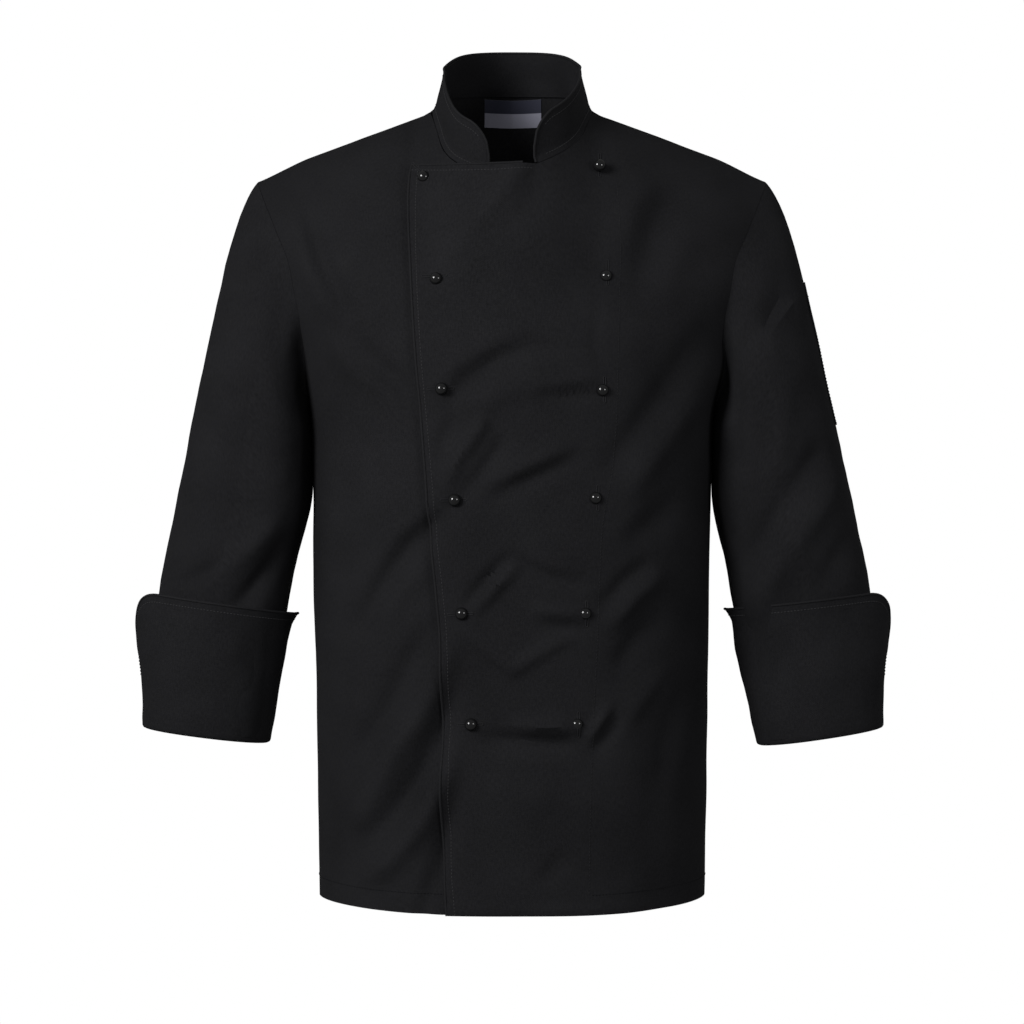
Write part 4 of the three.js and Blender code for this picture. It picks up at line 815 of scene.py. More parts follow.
# %% [markdown]
# ## Cuffs
# Each cuff is turned back over the sleeve, so its free edge is at the top. It stands off the
# sleeve there, opens in a slit with rounded corners on the outer side, and rolls into the
# sleeve at the bottom.

# %% Make the cuffs
CUFF_WALL = 2.0
CUFF_HEIGHT = 128
CUFF_CORNER_HEIGHT = 46
CUFF_CORNER_WIDTH = 29
CUFF_REAR_DROP = 5
CUFF_LIP = 4.5
CUFF_LIP_ROWS, CUFF_LIP_FADE, CUFF_LIP_FACING = 4.5, 4, 8
CUFF_SLIT_TURN = 0.02
CUFF_SLIT_HALF = 3.6 / 58
CUFF_ROWS = 26
CUFF_COLUMNS = 121
CUFF_EVEN_SHARE = 0.45  # the rest of the columns crowd towards the slit
CUFF_STEPS = 16
CUFF_WAVES, CUFF_WAVES_SIZE = 1.6, 34
CUFF_RIPPLE, CUFF_RIPPLE_SIZE = 0.5, 15
CUFF_WAVES_ROWS = 5
CUFF_GIRTH = 400  # for the weave's scale
CUFF_ROW_HEIGHT = 5
CUFF_ROLL = [(5.2, 16), (5.0, 8), (4.8, 1.5), (4.0, -1.2), (2.4, -2.4), (0.9, -1.7)]
SLIT_ROW = 13


def corner_drop(off, width, height):
    """How far a rounded corner lies below the edge, at a distance from the corner's side."""
    share = np.clip(1 - off / width, 0, 1)
    return height * (1 - np.sqrt(1 - share**2))


def cuff(name, side, seed):
    share = np.linspace(0, 1, CUFF_COLUMNS)
    crowded = (1 - np.cos(math.pi * share)) / 2
    share = CUFF_EVEN_SHARE * share + (1 - CUFF_EVEN_SHARE) * crowded
    start = CUFF_SLIT_TURN + CUFF_SLIT_HALF
    angle = start + (2 * math.pi - 2 * CUFF_SLIT_HALF) * share
    rim = CUFF_SECTIONS[name][-1]
    aside = rim[0] - np.abs(section_points(rim, side, angle)[:, 0])
    corner = corner_drop(aside, CUFF_CORNER_WIDTH, CUFF_CORNER_HEIGHT)
    corner = corner + CUFF_REAR_DROP * smooth(-2 * np.sin(angle))
    rings = between_sections(CUFF_SECTIONS[name], side, angle, CUFF_STEPS)
    reached = (1 - corner / CUFF_HEIGHT)[None]
    k = np.linspace(0, 1, CUFF_ROWS + 1)[:, None] * reached * (len(rings) - 1)
    i = np.clip(k.astype(int), 0, len(rings) - 2)
    j = np.arange(CUFF_COLUMNS)[None]
    t = (k - i)[..., None]
    outer = rings[i, j] * (1 - t) + rings[i + 1, j] * t
    middle = outer[0].mean(axis=0)
    inside = unit((middle - outer[0]) * (1, 1, 0))
    roll = [outer[0] + inside * reach + np.array([0, 0, rise]) for reach, rise in CUFF_ROLL]
    points = np.concatenate([np.array(roll), outer])
    normals = grid_normals(points, False, -side)
    row = np.arange(len(points))[:, None]
    waves = CUFF_WAVES * rumple(points, CUFF_WAVES_SIZE, seed)
    waves = waves + CUFF_RIPPLE * rumple(points, CUFF_RIPPLE_SIZE, seed + 1)
    lip = CUFF_LIP * smooth((row - len(points) + CUFF_LIP_ROWS) / CUFF_LIP_FADE)
    lip = lip * np.maximum(0, -np.cos(angle)) ** CUFF_LIP_FACING
    shown = smooth((row - len(CUFF_ROLL)) / CUFF_WAVES_ROWS)
    points = points + normals * (waves * shown + lip)[..., None]
    around = np.broadcast_to(share * CUFF_GIRTH, points.shape[:2])
    uv = np.stack([around, np.broadcast_to(row * CUFF_ROW_HEIGHT, points.shape[:2])], -1)

    def left_out(i, j):
        return j == CUFF_COLUMNS - 1 and i >= SLIT_ROW + len(CUFF_ROLL)

    piece = cloth_object(f"{name}_cuff", points, uv, -side, CUFF_WALL, ring=True, left_out=left_out)
    return piece, points, grid_normals(points, False, -side)


cuff_left, cuff_left_points, cuff_left_normals = cuff("left", 1, 5)
cuff_right, cuff_right_points, cuff_right_normals = cuff("right", -1, 7)

# %% [markdown]
# ## Stand collar
# The collar grows out of the neck seam, leans a little forward and towards the neck, and its two
# ends are rounded. It follows the same points as the fronts and the back, so it can't drift
# away from its seam.

# %% Make the collar
COLLAR_WALL = 2.6
COLLAR_HEIGHT = 42
COLLAR_CORNER = 26
COLLAR_ROUNDING = 40  # passes that even out the top edge's line
COLLAR_RISE = np.array([0, 2, 4, 7, 11, 15, 19, 23, 27, 31, 34, 37, 39.5, 41, 42.0])
COLLAR_LEAN = {"forward": 0.3, "inward": 0.1, "behind": 0.03}
COLLAR_GAP = 0.5
COLLAR_FOOT = {"out": 0.7, "up": 0.3}  # it leaves its seam mostly in line with the cloth
COLLAR_FOOT_HEIGHT = 7
NECK_ROUNDING = 6  # passes that even out the neck seam


def neck_loop():
    neck = slice(FREE_COLUMNS * FINE, (FREE_COLUMNS + NECK_COLUMNS) * FINE + 1)
    right_top = right_points[-1][::-1][neck]
    right_normal = right_normals[-1][::-1][neck]
    rear = slice(BACK_SHOULDER_COLUMNS * FINE, (BACK_SHOULDER_COLUMNS + BACK_NECK_COLUMNS) * FINE + 1)
    left_top = left_points[-1][neck][::-1]
    left_normal = left_normals[-1][neck][::-1]
    points = np.concatenate([right_top[:-1], back_points[-1][rear][1:-1], left_top[1:]])
    normals = np.concatenate([right_normal[:-1], back_normals[-1][rear][1:-1], left_normal[1:]])
    for _ in range(NECK_ROUNDING):
        points[1:-1] = (points[:-2] + 2 * points[1:-1] + points[2:]) / 4
        normals[1:-1] = (normals[:-2] + 2 * normals[1:-1] + normals[2:]) / 4
    return points, unit(normals)


def collar_points():
    foot, normals = neck_loop()
    onward = unit(np.cross(np.gradient(foot, axis=0), normals))
    flat = unit(foot * (1, 1, 0))
    inward = -COLLAR_LEAN["inward"] * flat[:, 0]
    forward = -COLLAR_LEAN["forward"] - COLLAR_LEAN["behind"] * flat[:, 1]
    rise = unit(np.stack([inward, forward, np.ones(len(foot))], -1))
    along = np.concatenate([[0], np.cumsum(np.linalg.norm(np.diff(foot, axis=0), axis=-1))])
    off = np.minimum(along, along[-1] - along)
    corner = corner_drop(off, COLLAR_CORNER, COLLAR_CORNER)
    share = (COLLAR_HEIGHT - corner) / COLLAR_HEIGHT
    rounder = foot.copy()
    for _ in range(COLLAR_ROUNDING):
        rounder[1:-1] = (rounder[:-2] + 2 * rounder[1:-1] + rounder[2:]) / 4
    rows = []
    for height in COLLAR_RISE:
        h = (height * share)[:, None]
        low = np.minimum(h, COLLAR_FOOT_HEIGHT)
        start = foot + (rounder - foot) * smooth(height / COLLAR_HEIGHT)
        out = onward * (COLLAR_GAP + low * COLLAR_FOOT["out"])
        rows.append(start + out + rise * (low * COLLAR_FOOT["up"] + h - low))
    return np.array(rows), along


collar_rows, neck_length = collar_points()
collar_ripple = 0.5 * rumple(collar_rows, 30, 9)
collar_rows = collar_rows + grid_normals(collar_rows, False, -1) * collar_ripple[..., None]
collar_normals = grid_normals(collar_rows, False, -1)
collar_uv = np.stack(
    [
        np.broadcast_to(neck_length, collar_rows.shape[:2]),
        np.broadcast_to(COLLAR_RISE[:, None], collar_rows.shape[:2]),
    ],
    axis=-1,
)
collar = cloth_object("stand_collar", collar_rows, collar_uv, -1, COLLAR_WALL)
print("neck seam in millimetres:", round(float(neck_length[-1])))

# %% [markdown]
# ## Piping
# A thin round bead is sewn into the free edges of the overlap, the collar and the cuffs. A
# poly curve with a round bevel is Blender's own way to make such a cord, and it is turned into
# a mesh once it lies in place. It overlaps the edge slightly, or light shows through the gap.

# %% Make the piping
PIPING = 1.25
BEAD_IN_EDGE = -0.3
BEAD_SUNK = 0.25
BEAD_END_SUNK = 2.0  # where a cuff's bead runs out at the foot of its slit
BEAD_END_POINTS = 9


def cord(name, path, radius, closed=False):
    data = bpy.data.curves.new(name, "CURVE")
    data.dimensions = "3D"
    data.bevel_depth = radius * MM
    data.bevel_resolution = 3
    data.use_fill_caps = True
    spline = data.splines.new("POLY")
    spline.points.add(len(path) - 1)
    for point, place in zip(spline.points, path):
        point.co = (*(Vector(place) * MM), 1)
    spline.use_cyclic_u = closed
    piece = bpy.data.objects.new(name, data)
    bpy.context.collection.objects.link(piece)
    bpy.context.view_layer.objects.active = piece
    piece.select_set(True)
    bpy.ops.object.convert(target="MESH")
    bpy.ops.object.shade_smooth()
    piece.select_set(False)
    return piece


def edge_path(pairs, away):
    """The bead's middle line beside an edge: pairs are (edge point, normal, next point inwards)."""
    path = []
    for edge, normal, inner in pairs:
        out = unit(np.asarray(edge) - np.asarray(inner))
        path.append(edge + out * (PIPING + away) - normal * BEAD_SUNK)
    return path


def grid_edge(points, normals, cells):
    """Edge pairs for a list of (row, column, row step inwards, column step inwards)."""
    return [(points[i, j], normals[i, j], points[i + di, j + dj]) for i, j, di, dj in cells]


def beading(name, points, normals, cells):
    return cord(name, edge_path(grid_edge(points, normals, cells), BEAD_IN_EDGE), PIPING)


front_last = len(left_points) - 1
front_cells = (
    [(i, 0, 0, 3) for i in range(0, front_last, 2)]
    + [(front_last, j, -3, 0) for j in range(0, FREE_COLUMNS * FINE - 1, 2)]
)
front_piping = beading("front_piping", left_points, left_normals, front_cells)

collar_last = len(COLLAR_RISE) - 1
collar_wide = collar_rows.shape[1] - 1
collar_cells = (
    [(i, 0, 0, 2) for i in range(2, collar_last, 2)]
    + [(collar_last, j, -1, 0) for j in range(0, collar_wide + 1)]
    + [(i, collar_wide, 0, -2) for i in range(collar_last - 2, 1, -2)]
)
collar_piping = beading("collar_piping", collar_rows, collar_normals, collar_cells)


def cuff_piping(name, points, normals):
    top, last = len(points) - 1, CUFF_COLUMNS - 1
    slit = SLIT_ROW + 7
    cells = (
        [(i, 0, 0, 2) for i in range(slit, top - 1)]
        + [(top, j, -2, 0) for j in range(0, last + 1)]
        + [(i, last, 0, -2) for i in range(top - 2, slit - 1, -1)]
    )
    pairs = grid_edge(points, normals, cells)
    path = np.array(edge_path(pairs, BEAD_IN_EDGE))
    out = np.array([normal for _, normal, _ in pairs])
    from_end = np.minimum(np.arange(len(path)), np.arange(len(path))[::-1])
    path -= out * (BEAD_END_SUNK * (1 - smooth(from_end / BEAD_END_POINTS)))[:, None]
    return cord(name, path, PIPING)


left_cuff_piping = cuff_piping("left_cuff_piping", cuff_left_points, cuff_left_normals)
right_cuff_piping = cuff_piping("right_cuff_piping", cuff_right_points, cuff_right_normals)

# %% [markdown]
# ## Stud buttons
# Each stud is a polished ball on a short neck that passes through both fronts to a flat foot
# inside. One stud is modelled: a ball whose lowest faces are drawn out into the neck and then
# widened into the foot. The twelve studs are copies, each with its own mesh, laid on its solid.

# %% Make the studs
BALL = 6.0
STUD_NECK = 2.1
STUD_FOOT = 6.5
FOOT_THICKNESS = 1.3
FOOT_EDGE, FOOT_DISH = 0.4, 0.1
END_POINTS = 0.05  # points this near to a solid's end count as its end


def stud_axis(node):
    """Outer end and inner end of a stud's solid, in millimetres."""
    points = np.array([v.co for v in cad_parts[node].data.vertices]) / MM
    axis = np.linalg.svd(points - points.mean(axis=0))[2][0]
    axis = axis if axis[1] < 0 else -axis
    depth = points @ axis
    top = points[depth > depth.max() - END_POINTS].mean(axis=0)
    foot = points[depth < depth.min() + END_POINTS].mean(axis=0)
    return top, foot


def pattern_stud(length):
    """One stud of a given length, standing on the world's origin with its ball on top."""
    bpy.ops.object.select_all(action="DESELECT")
    bpy.ops.mesh.primitive_uv_sphere_add(
        segments=40, ring_count=24, radius=BALL * MM, location=(0, 0, (length - BALL) * MM)
    )
    stud = bpy.context.object
    bpy.ops.object.transform_apply(location=True)
    bpy.ops.object.mode_set(mode="EDIT")
    mesh = bmesh.from_edit_mesh(stud.data)
    for face in mesh.faces:
        middle = face.calc_center_median()
        is_low = middle.z < (length - BALL) * MM
        face.select_set(math.hypot(middle.x, middle.y) < STUD_NECK * MM and is_low)
    mesh.select_flush(True)
    bmesh.update_edit_mesh(stud.data)
    bpy.ops.transform.resize(value=(1, 1, 0))
    bottom = min(v.co.z for v in mesh.verts if v.select)
    bpy.ops.mesh.extrude_region_move(
        TRANSFORM_OT_translate={"value": (0, 0, FOOT_THICKNESS * MM - bottom)}
    )
    bpy.ops.mesh.extrude_region()
    bpy.ops.transform.resize(value=(STUD_FOOT / STUD_NECK, STUD_FOOT / STUD_NECK, 1))
    bpy.ops.mesh.extrude_region_move(TRANSFORM_OT_translate={"value": (0, 0, -FOOT_THICKNESS * MM)})
    bpy.ops.mesh.inset(thickness=FOOT_EDGE * MM)
    bpy.ops.transform.translate(value=(0, 0, -FOOT_DISH * MM))
    bpy.ops.object.mode_set(mode="OBJECT")
    bpy.ops.object.shade_smooth_by_angle(angle=math.radians(40))
    stud.select_set(False)
    return stud


def place_stud(pattern, node):
    """A copy of the pattern, with its own mesh, turned and moved onto a stud's solid."""
    top, foot = stud_axis(node)
    axis = Vector(top - foot)
    stud = pattern.copy()
    stud.data = pattern.data.copy()
    stud.name = node.replace("stud_", "ball_stud_")
    bpy.context.collection.objects.link(stud)
    turn = axis.to_track_quat("Z", "Y").to_matrix().to_4x4()
    stud.data.transform(Matrix.Translation(Vector(foot) * MM) @ turn)
    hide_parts(node)
    ball = top - np.array(axis.normalized()) * BALL
    return stud, ball


stud_nodes = sorted(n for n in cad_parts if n.startswith("stud_"))
stud_lengths = [float(np.linalg.norm(np.subtract(*stud_axis(n)))) for n in stud_nodes]
pattern = pattern_stud(stud_lengths[0])
studs = {node.replace("stud_", ""): place_stud(pattern, node) for node in stud_nodes}
bpy.data.objects.remove(pattern)
print("studs:", len(studs), "longest:", round(max(stud_lengths), 2))

# %% [markdown]
# ## Stitching and buttonholes
# Real topstitching is a row of separate threads, each sunk at its ends. One small mesh of many
# short threads per piece costs little and catches the light as thread does, where a painted
# line would stay flat from the side. The threads' tones also hold painted sheen and painted
# shade: lighter in some rows, darker in the sunk ones. A buttonhole is a slit bound with a
# rounded bead, and the ball of its stud stands in its middle.

# %% Thread rows
STITCH = 1.9
STITCH_GAP = 1.3
THREAD = 0.32
FIRST_STITCH = 0.5
THREAD_SUNK, THREAD_RAISED = -0.1, 0.2


def distance_along(line):
    return np.concatenate([[0], np.cumsum(np.linalg.norm(np.diff(line, axis=0), axis=-1))])


def stitch_rows(name, rows):
    """Rows of short threads: each row is (path, outward normals)."""
    vertices, faces = [], []
    for path, normals in rows:
        both = np.concatenate([np.asarray(path), np.asarray(normals)], axis=-1)
        at = distance_along(both[:, :3])
        starts = np.arange(FIRST_STITCH, at[-1] - STITCH, STITCH + STITCH_GAP)
        for start in starts:
            wanted = start + STITCH * np.array([0, 0.25, 0.75, 1])
            line = np.stack([np.interp(wanted, at, both[:, k]) for k in range(6)], axis=-1)
            along = unit(line[-1, :3] - line[0, :3])
            base = len(vertices)
            lifts = (THREAD_SUNK, THREAD_RAISED, THREAD_RAISED, THREAD_SUNK)
            for p, lift in zip(line, lifts):
                normal = unit(p[3:])
                sideways = np.cross(along, normal)
                centre = p[:3] + normal * lift
                for angle in np.arange(5) * 2 * math.pi / 5:
                    ring = sideways * math.cos(angle) + normal * math.sin(angle)
                    vertices.append((centre + ring * THREAD) * MM)
            for ring in range(3):
                for k in range(5):
                    a, b = base + ring * 5 + k, base + ring * 5 + (k + 1) % 5
                    faces.append((a, b, b + 5, a + 5))
            faces.append(tuple(base + k for k in range(4, -1, -1)))
            faces.append(tuple(base + 15 + k for k in range(5)))
    mesh = bpy.data.meshes.new(name)
    mesh.from_pydata([tuple(v) for v in vertices], [], faces)
    mesh.shade_smooth()
    piece = bpy.data.objects.new(name, mesh)
    bpy.context.collection.objects.link(piece)
    return piece


def inset(points, normals, edge, distance, first=0, last=None):
    """A line on a grid, a set distance in from one of its edges."""
    turned = {
        "left": (points, normals),
        "right": (points[:, ::-1], normals[:, ::-1]),
        "bottom": (points.transpose(1, 0, 2), normals.transpose(1, 0, 2)),
        "top": (points.transpose(1, 0, 2)[:, ::-1], normals.transpose(1, 0, 2)[:, ::-1]),
    }
    lines, facing = turned[edge]
    path, out = [], []
    for line, normal in zip(lines[first:last], facing[first:last]):
        at = distance_along(line)
        path.append([np.interp(distance, at, line[:, k]) for k in range(3)])
        out.append([np.interp(distance, at, normal[:, k]) for k in range(3)])
    return np.array(path), unit(np.array(out))


free = FREE_COLUMNS * FINE
facing_line = table(
    "z x",
    [
        (-764, 71), (-690, 72), (-585, 75), (-500, 79), (-410, 82.5),
        (-330, 95), (-250, 98), (-130, 101), (-75, 99),
    ],
)


def on_left_front(x, z):
    """A point on the overlap and its normal, from its place seen from the front."""
    x, z = np.asarray(x, float), np.asarray(z, float)

    def point(a, b):
        return skin("front", place_of(a, b), left_outset)

    here = point(x, z)
    normal = np.cross(point(x + 1, z) - point(x - 1, z), point(x, z + 1) - point(x, z - 1))
    return here, unit(normal)


facing_z = np.linspace(-744, -75, 120)
facing_path = on_left_front(curve(facing_line, "z", "x")(facing_z), facing_z)
left_rows = [
    inset(left_points, left_normals, "left", 7),
    inset(left_points, left_normals, "top", 5.5, first=0, last=free + 1),
]
left_stitches = stitch_rows("left_front_stitches", left_rows)
facing_stitches = stitch_rows("facing_stitches", [facing_path])
right_columns = right_points.shape[1]
hem_stitches = stitch_rows(
    "hem_stitches",
    [
        inset(left_points, left_normals, "bottom", HEM_HEIGHT, first=35),
        inset(right_points, right_normals, "bottom", HEM_HEIGHT, last=right_columns - free - 2),
        inset(back_points, back_normals, "bottom", HEM_HEIGHT),
    ],
)
shoulder = BACK_SHOULDER_COLUMNS * FINE
shoulder_stitches = stitch_rows(
    "shoulder_stitches",
    [
        inset(back_points, back_normals, "top", 5, last=shoulder - 1),
        inset(back_points, back_normals, "top", 5, first=shoulder + BACK_NECK_COLUMNS * FINE + 2),
    ],
)
collar_stitches = stitch_rows(
    "collar_stitches",
    [
        inset(collar_rows, collar_normals, "top", 6, first=4, last=collar_wide - 3),
        inset(collar_rows, collar_normals, "bottom", 5, first=4, last=collar_wide - 3),
    ],
)


def cuff_stitches(name, points, normals):
    slit = SLIT_ROW + 6
    rows = [
        inset(points, normals, "top", 6, first=5, last=CUFF_COLUMNS - 5),
        inset(points, normals, "left", 6, first=slit, last=len(points) - 4),
        inset(points, normals, "right", 6, first=slit, last=len(points) - 4),
    ]
    return stitch_rows(name, rows)


left_cuff_stitches = cuff_stitches("left_cuff_stitches", cuff_left_points, cuff_left_normals)
right_cuff_stitches = cuff_stitches("right_cuff_stitches", cuff_right_points, cuff_right_normals)
print("thread rows done")

# %% Buttonholes
HOLE_LENGTH = 24
HOLE_WIDTH = 2.0
HOLE_BEAD = 0.5
buttonholes = []


def buttonhole(name, centre_x, centre_z, angle):
    """A slit bound with close thread: a bead along two straight sides and two round ends."""
    straight = HOLE_LENGTH / 2 - HOLE_WIDTH / 2
    line = []
    for k in range(160):
        t = k / 160 * 4
        if t < 1:
            p = (straight * (1 - 2 * t), HOLE_WIDTH / 2)
        elif t < 2:
            a = math.pi / 2 + math.pi * (t - 1)
            p = (-straight + HOLE_WIDTH / 2 * math.cos(a), HOLE_WIDTH / 2 * math.sin(a))
        elif t < 3:
            p = (-straight + 2 * straight * (t - 2), -HOLE_WIDTH / 2)
        else:
            a = -math.pi / 2 + math.pi * (t - 3)
            p = (straight + HOLE_WIDTH / 2 * math.cos(a), HOLE_WIDTH / 2 * math.sin(a))
        line.append(p)
    line = np.array(line)
    turn = math.radians(angle)
    x = centre_x + line[:, 0] * math.cos(turn) - line[:, 1] * math.sin(turn)
    z = centre_z + line[:, 0] * math.sin(turn) + line[:, 1] * math.cos(turn)
    points, normals = on_left_front(x, z)
    piece = cord(name, points + normals * 0.1, HOLE_BEAD, closed=True)
    buttonholes.append(piece)
    return piece


HOLE_ANGLES = {"right_1": -45, "right_5": 3, "right_6": 3}
for place, (_, ball) in studs.items():
    angle = HOLE_ANGLES.get(place, 90 if place.startswith("left") else 1)
    buttonhole(f"buttonhole_{place}", ball[0], ball[2], angle)
print("buttonholes:", len(buttonholes))

# %% [markdown]
# ## Sleeve pocket and neck label
# The pen pocket lies on the outside of the left sleeve, and the label on the inside of the back.
# Both are made from the points of the cloth they are sewn to, moved out by their own thickness.

# %% Pocket and label
POCKET_ROWS = (9.9, 26.4)
POCKET_AROUND = (5, -15)
POCKET_GRID = (25, 41)
POCKET_SIZE = (75, 126)  # for the weave's scale
POCKET_LIFT = 1.3
POCKET_WALL = 1.1


def pocket_points(lift):
    rows = np.linspace(*POCKET_ROWS, POCKET_GRID[0])
    columns = np.linspace(*POCKET_AROUND, POCKET_GRID[1])
    i = rows.astype(int)
    t = (rows - i)[:, None, None]
    j = np.floor(columns).astype(int) % AROUND
    s = (columns - np.floor(columns))[None, :, None]
    k = (j + 1) % AROUND

    def pick(grid):
        low = grid[i][:, j] * (1 - s) + grid[i][:, k] * s
        high = grid[i + 1][:, j] * (1 - s) + grid[i + 1][:, k] * s
        return low * (1 - t) + high * t

    return pick(sleeve_left_points) + unit(pick(sleeve_left_normals)) * lift


pocket_grid = pocket_points(POCKET_LIFT)
pocket_out = unit(pocket_grid - pocket_points(0))
outward_sign = 1 if np.sum(grid_normals(pocket_grid, False, 1) * pocket_out) > 0 else -1
pocket_across = np.linspace(0, POCKET_SIZE[0], POCKET_GRID[1])
pocket_down = np.linspace(0, -POCKET_SIZE[1], POCKET_GRID[0])
pocket_uv = np.stack(np.meshgrid(pocket_across, pocket_down), axis=-1)
pocket = cloth_object("pen_pocket", pocket_grid, pocket_uv, outward_sign, POCKET_WALL)
pocket_stitches = stitch_rows(
    "pocket_stitches",
    [
        inset(pocket_grid, pocket_out, "left", 2),
        inset(pocket_grid, pocket_out, "right", 2),
        inset(pocket_grid, pocket_out, "bottom", 14),
        inset(pocket_grid, pocket_out, "top", 2),
    ],
)
middle = (BACK_SHOULDER_COLUMNS + BACK_NECK_COLUMNS // 2) * FINE
LABEL_HALF = 29
LABEL_HEIGHT = 26
LABEL_ASIDE = 1
LABEL_DROP = 3
LABEL_GAP = 0.5
LABEL_WALL = 0.5
LABEL_GRID = (17, 33)


def label_points():
    across = np.linspace(-LABEL_HALF, LABEL_HALF, LABEL_GRID[1])
    x, drop = np.meshgrid(across, np.linspace(0, LABEL_HEIGHT, LABEL_GRID[0]))
    x = x + LABEL_ASIDE
    top = back_points[-1, middle, 2] - LABEL_DROP
    here = skin("back", place_of(x, top - drop), back_outset)
    normals = grid_normals(here, False, 1)
    inward = np.where(normals[..., 1:2] > 0, -normals, normals)
    return here + inward * (CLOTH + LABEL_GAP), inward


label_grid, label_inward = label_points()
label_sign = 1 if np.sum(grid_normals(label_grid, False, 1) * label_inward) > 0 else -1
label_across = np.linspace(-LABEL_HALF, LABEL_HALF, LABEL_GRID[1])
label_down = np.linspace(0, -LABEL_HEIGHT, LABEL_GRID[0])
label_uv = np.stack(np.meshgrid(label_across, label_down), axis=-1)
label = cloth_object("neck_label_cloth", label_grid, label_uv, label_sign, -LABEL_WALL)
print("label height in millimetres:", LABEL_HEIGHT)

# %% [markdown]
# ## Materials
# Black twill is never quite black: a diagonal rib, fibres that catch light at a low angle and
# slight mottling make it look dark grey with a soft sheen. The rib is a wave across the UV map,
# which is in metres, so its pitch is the real one.

# %% Cloth material
def new_material(name, colour, roughness, sheen=0.0, coat=0.0, specular=0.5):
    material = bpy.data.materials.new(name)
    material.use_nodes = True
    shader = material.node_tree.nodes["Principled BSDF"]
    shader.inputs["Base Color"].default_value = (*colour, 1)
    shader.inputs["Roughness"].default_value = roughness
    shader.inputs["Sheen Weight"].default_value = sheen
    shader.inputs["Sheen Roughness"].default_value = 0.45
    shader.inputs["Coat Weight"].default_value = coat
    shader.inputs["Specular IOR Level"].default_value = specular
    return material, material.node_tree, shader


def noise_texture(tree, vector, scale, detail, stretch=(1, 1, 1)):
    """A noise whose features are `stretch` times as long along each direction."""
    place = tree.nodes.new("ShaderNodeMapping")
    place.inputs["Scale"].default_value = [1 / v for v in stretch]
    texture = tree.nodes.new("ShaderNodeTexNoise")
    texture.inputs["Scale"].default_value = scale
    texture.inputs["Detail"].default_value = detail
    tree.links.new(vector, place.inputs["Vector"])
    tree.links.new(place.outputs["Vector"], texture.inputs["Vector"])
    return texture.outputs["Fac"]


def blended(tree, operation, a, b, c=None):
    """A math node on sockets or plain numbers."""
    node = tree.nodes.new("ShaderNodeMath")
    node.operation = operation
    for socket, value in zip(node.inputs, (a, b, c)):
        if isinstance(value, (int, float)):
            socket.default_value = value
        elif value is not None:
            tree.links.new(value, socket)
    return node.outputs[0]


def bump(tree, height, strength, distance, normal=None):
    node = tree.nodes.new("ShaderNodeBump")
    node.inputs["Strength"].default_value = strength
    node.inputs["Distance"].default_value = distance
    tree.links.new(height, node.inputs["Height"])
    if normal is not None:
        tree.links.new(normal, node.inputs["Normal"])
    return node.outputs["Normal"]


def twill_material(name, dark, light, roughness, rib_depth, grain):
    material, tree, shader = new_material(name, dark, roughness, sheen=0.004, specular=0.05)
    place = tree.nodes.new("ShaderNodeTexCoord")
    rib = tree.nodes.new("ShaderNodeTexWave")
    rib.wave_type = "BANDS"
    rib.bands_direction = "DIAGONAL"
    rib.inputs["Scale"].default_value = 420
    rib.inputs["Distortion"].default_value = 1.4
    rib.inputs["Detail"].default_value = 2
    tree.links.new(place.outputs["UV"], rib.inputs["Vector"])
    warp = noise_texture(tree, place.outputs["UV"], 800, 2, stretch=(1, 3.5, 1))
    weft = noise_texture(tree, place.outputs["UV"], 800, 2, stretch=(3, 1, 1))
    fibre = noise_texture(tree, place.outputs["UV"], 1100, 3)
    wear = noise_texture(tree, place.outputs["Object"], 14, 6)
    crease = noise_texture(tree, place.outputs["Object"], 34, 4)
    warp_share = blended(tree, "MULTIPLY", warp, 0.4)
    threads = blended(tree, "ADD", warp_share, blended(tree, "MULTIPLY", weft, 0.25))
    threads = blended(tree, "MULTIPLY_ADD", fibre, 0.35, threads)
    contrast = blended(tree, "MULTIPLY_ADD", threads, grain, 0.5 - grain / 2)
    shade = blended(tree, "MULTIPLY_ADD", wear, 0.5, blended(tree, "SUBTRACT", contrast, 0.25))
    blend = tree.nodes.new("ShaderNodeMix")
    blend.data_type = "RGBA"
    blend.inputs["A"].default_value = (*dark, 1)
    blend.inputs["B"].default_value = (*light, 1)
    tree.links.new(shade, blend.inputs["Factor"])
    tree.links.new(blend.outputs["Result"], shader.inputs["Base Color"])
    normal = bump(tree, rib.outputs["Fac"], 0.5, rib_depth)
    normal = bump(tree, threads, 0.6, 0.0005, normal)
    normal = bump(tree, crease, 0.4, 0.0024, normal)
    tree.links.new(normal, shader.inputs["Normal"])
    return material


twill = twill_material(
    "black_twill",
    dark=(0.0035, 0.0035, 0.004),
    light=(0.0215, 0.0215, 0.0235),
    roughness=0.8,
    rib_depth=0.0003,
    grain=1.3,
)
piping_satin = twill_material(
    "piping_satin",
    dark=(0.007, 0.007, 0.0075),
    light=(0.022, 0.022, 0.024),
    roughness=0.6,
    rib_depth=0.0001,
    grain=1.2,
)

# %% Thread, stud and label materials
# Painted light and shade: one black thread in lit and shaded copies. It is lighter, as painted sheen, on
# the edge, collar, cuff and pocket rows. It is darker, as painted shade, in the sunk hem and shoulder rows.
# The facing row gets a matt middle tone, which is also painted light.
thread, thread_tree, thread_shader = new_material(
    "black_thread", (0.036, 0.036, 0.038), 0.6, sheen=0.01, specular=0.15
)
twist = thread_tree.nodes.new("ShaderNodeTexNoise")
twist.inputs["Scale"].default_value = 2500
twist_normal = bump(thread_tree, twist.outputs["Fac"], 0.5, 0.0002)
thread_tree.links.new(twist_normal, thread_shader.inputs["Normal"])

# Painted shade: a darkened copy of the thread for the sunk hem and shoulder rows.
sunk_thread, _, _ = new_material("sunk_thread", (0.005, 0.005, 0.006), 0.7, specular=0.1)
matt_thread, _, _ = new_material("matt_thread", (0.021, 0.021, 0.0225), 0.8, specular=0.05)
bound, _, _ = new_material(
    "buttonhole_thread", (0.014, 0.014, 0.0155), 0.6, sheen=0.01, specular=0.1
)

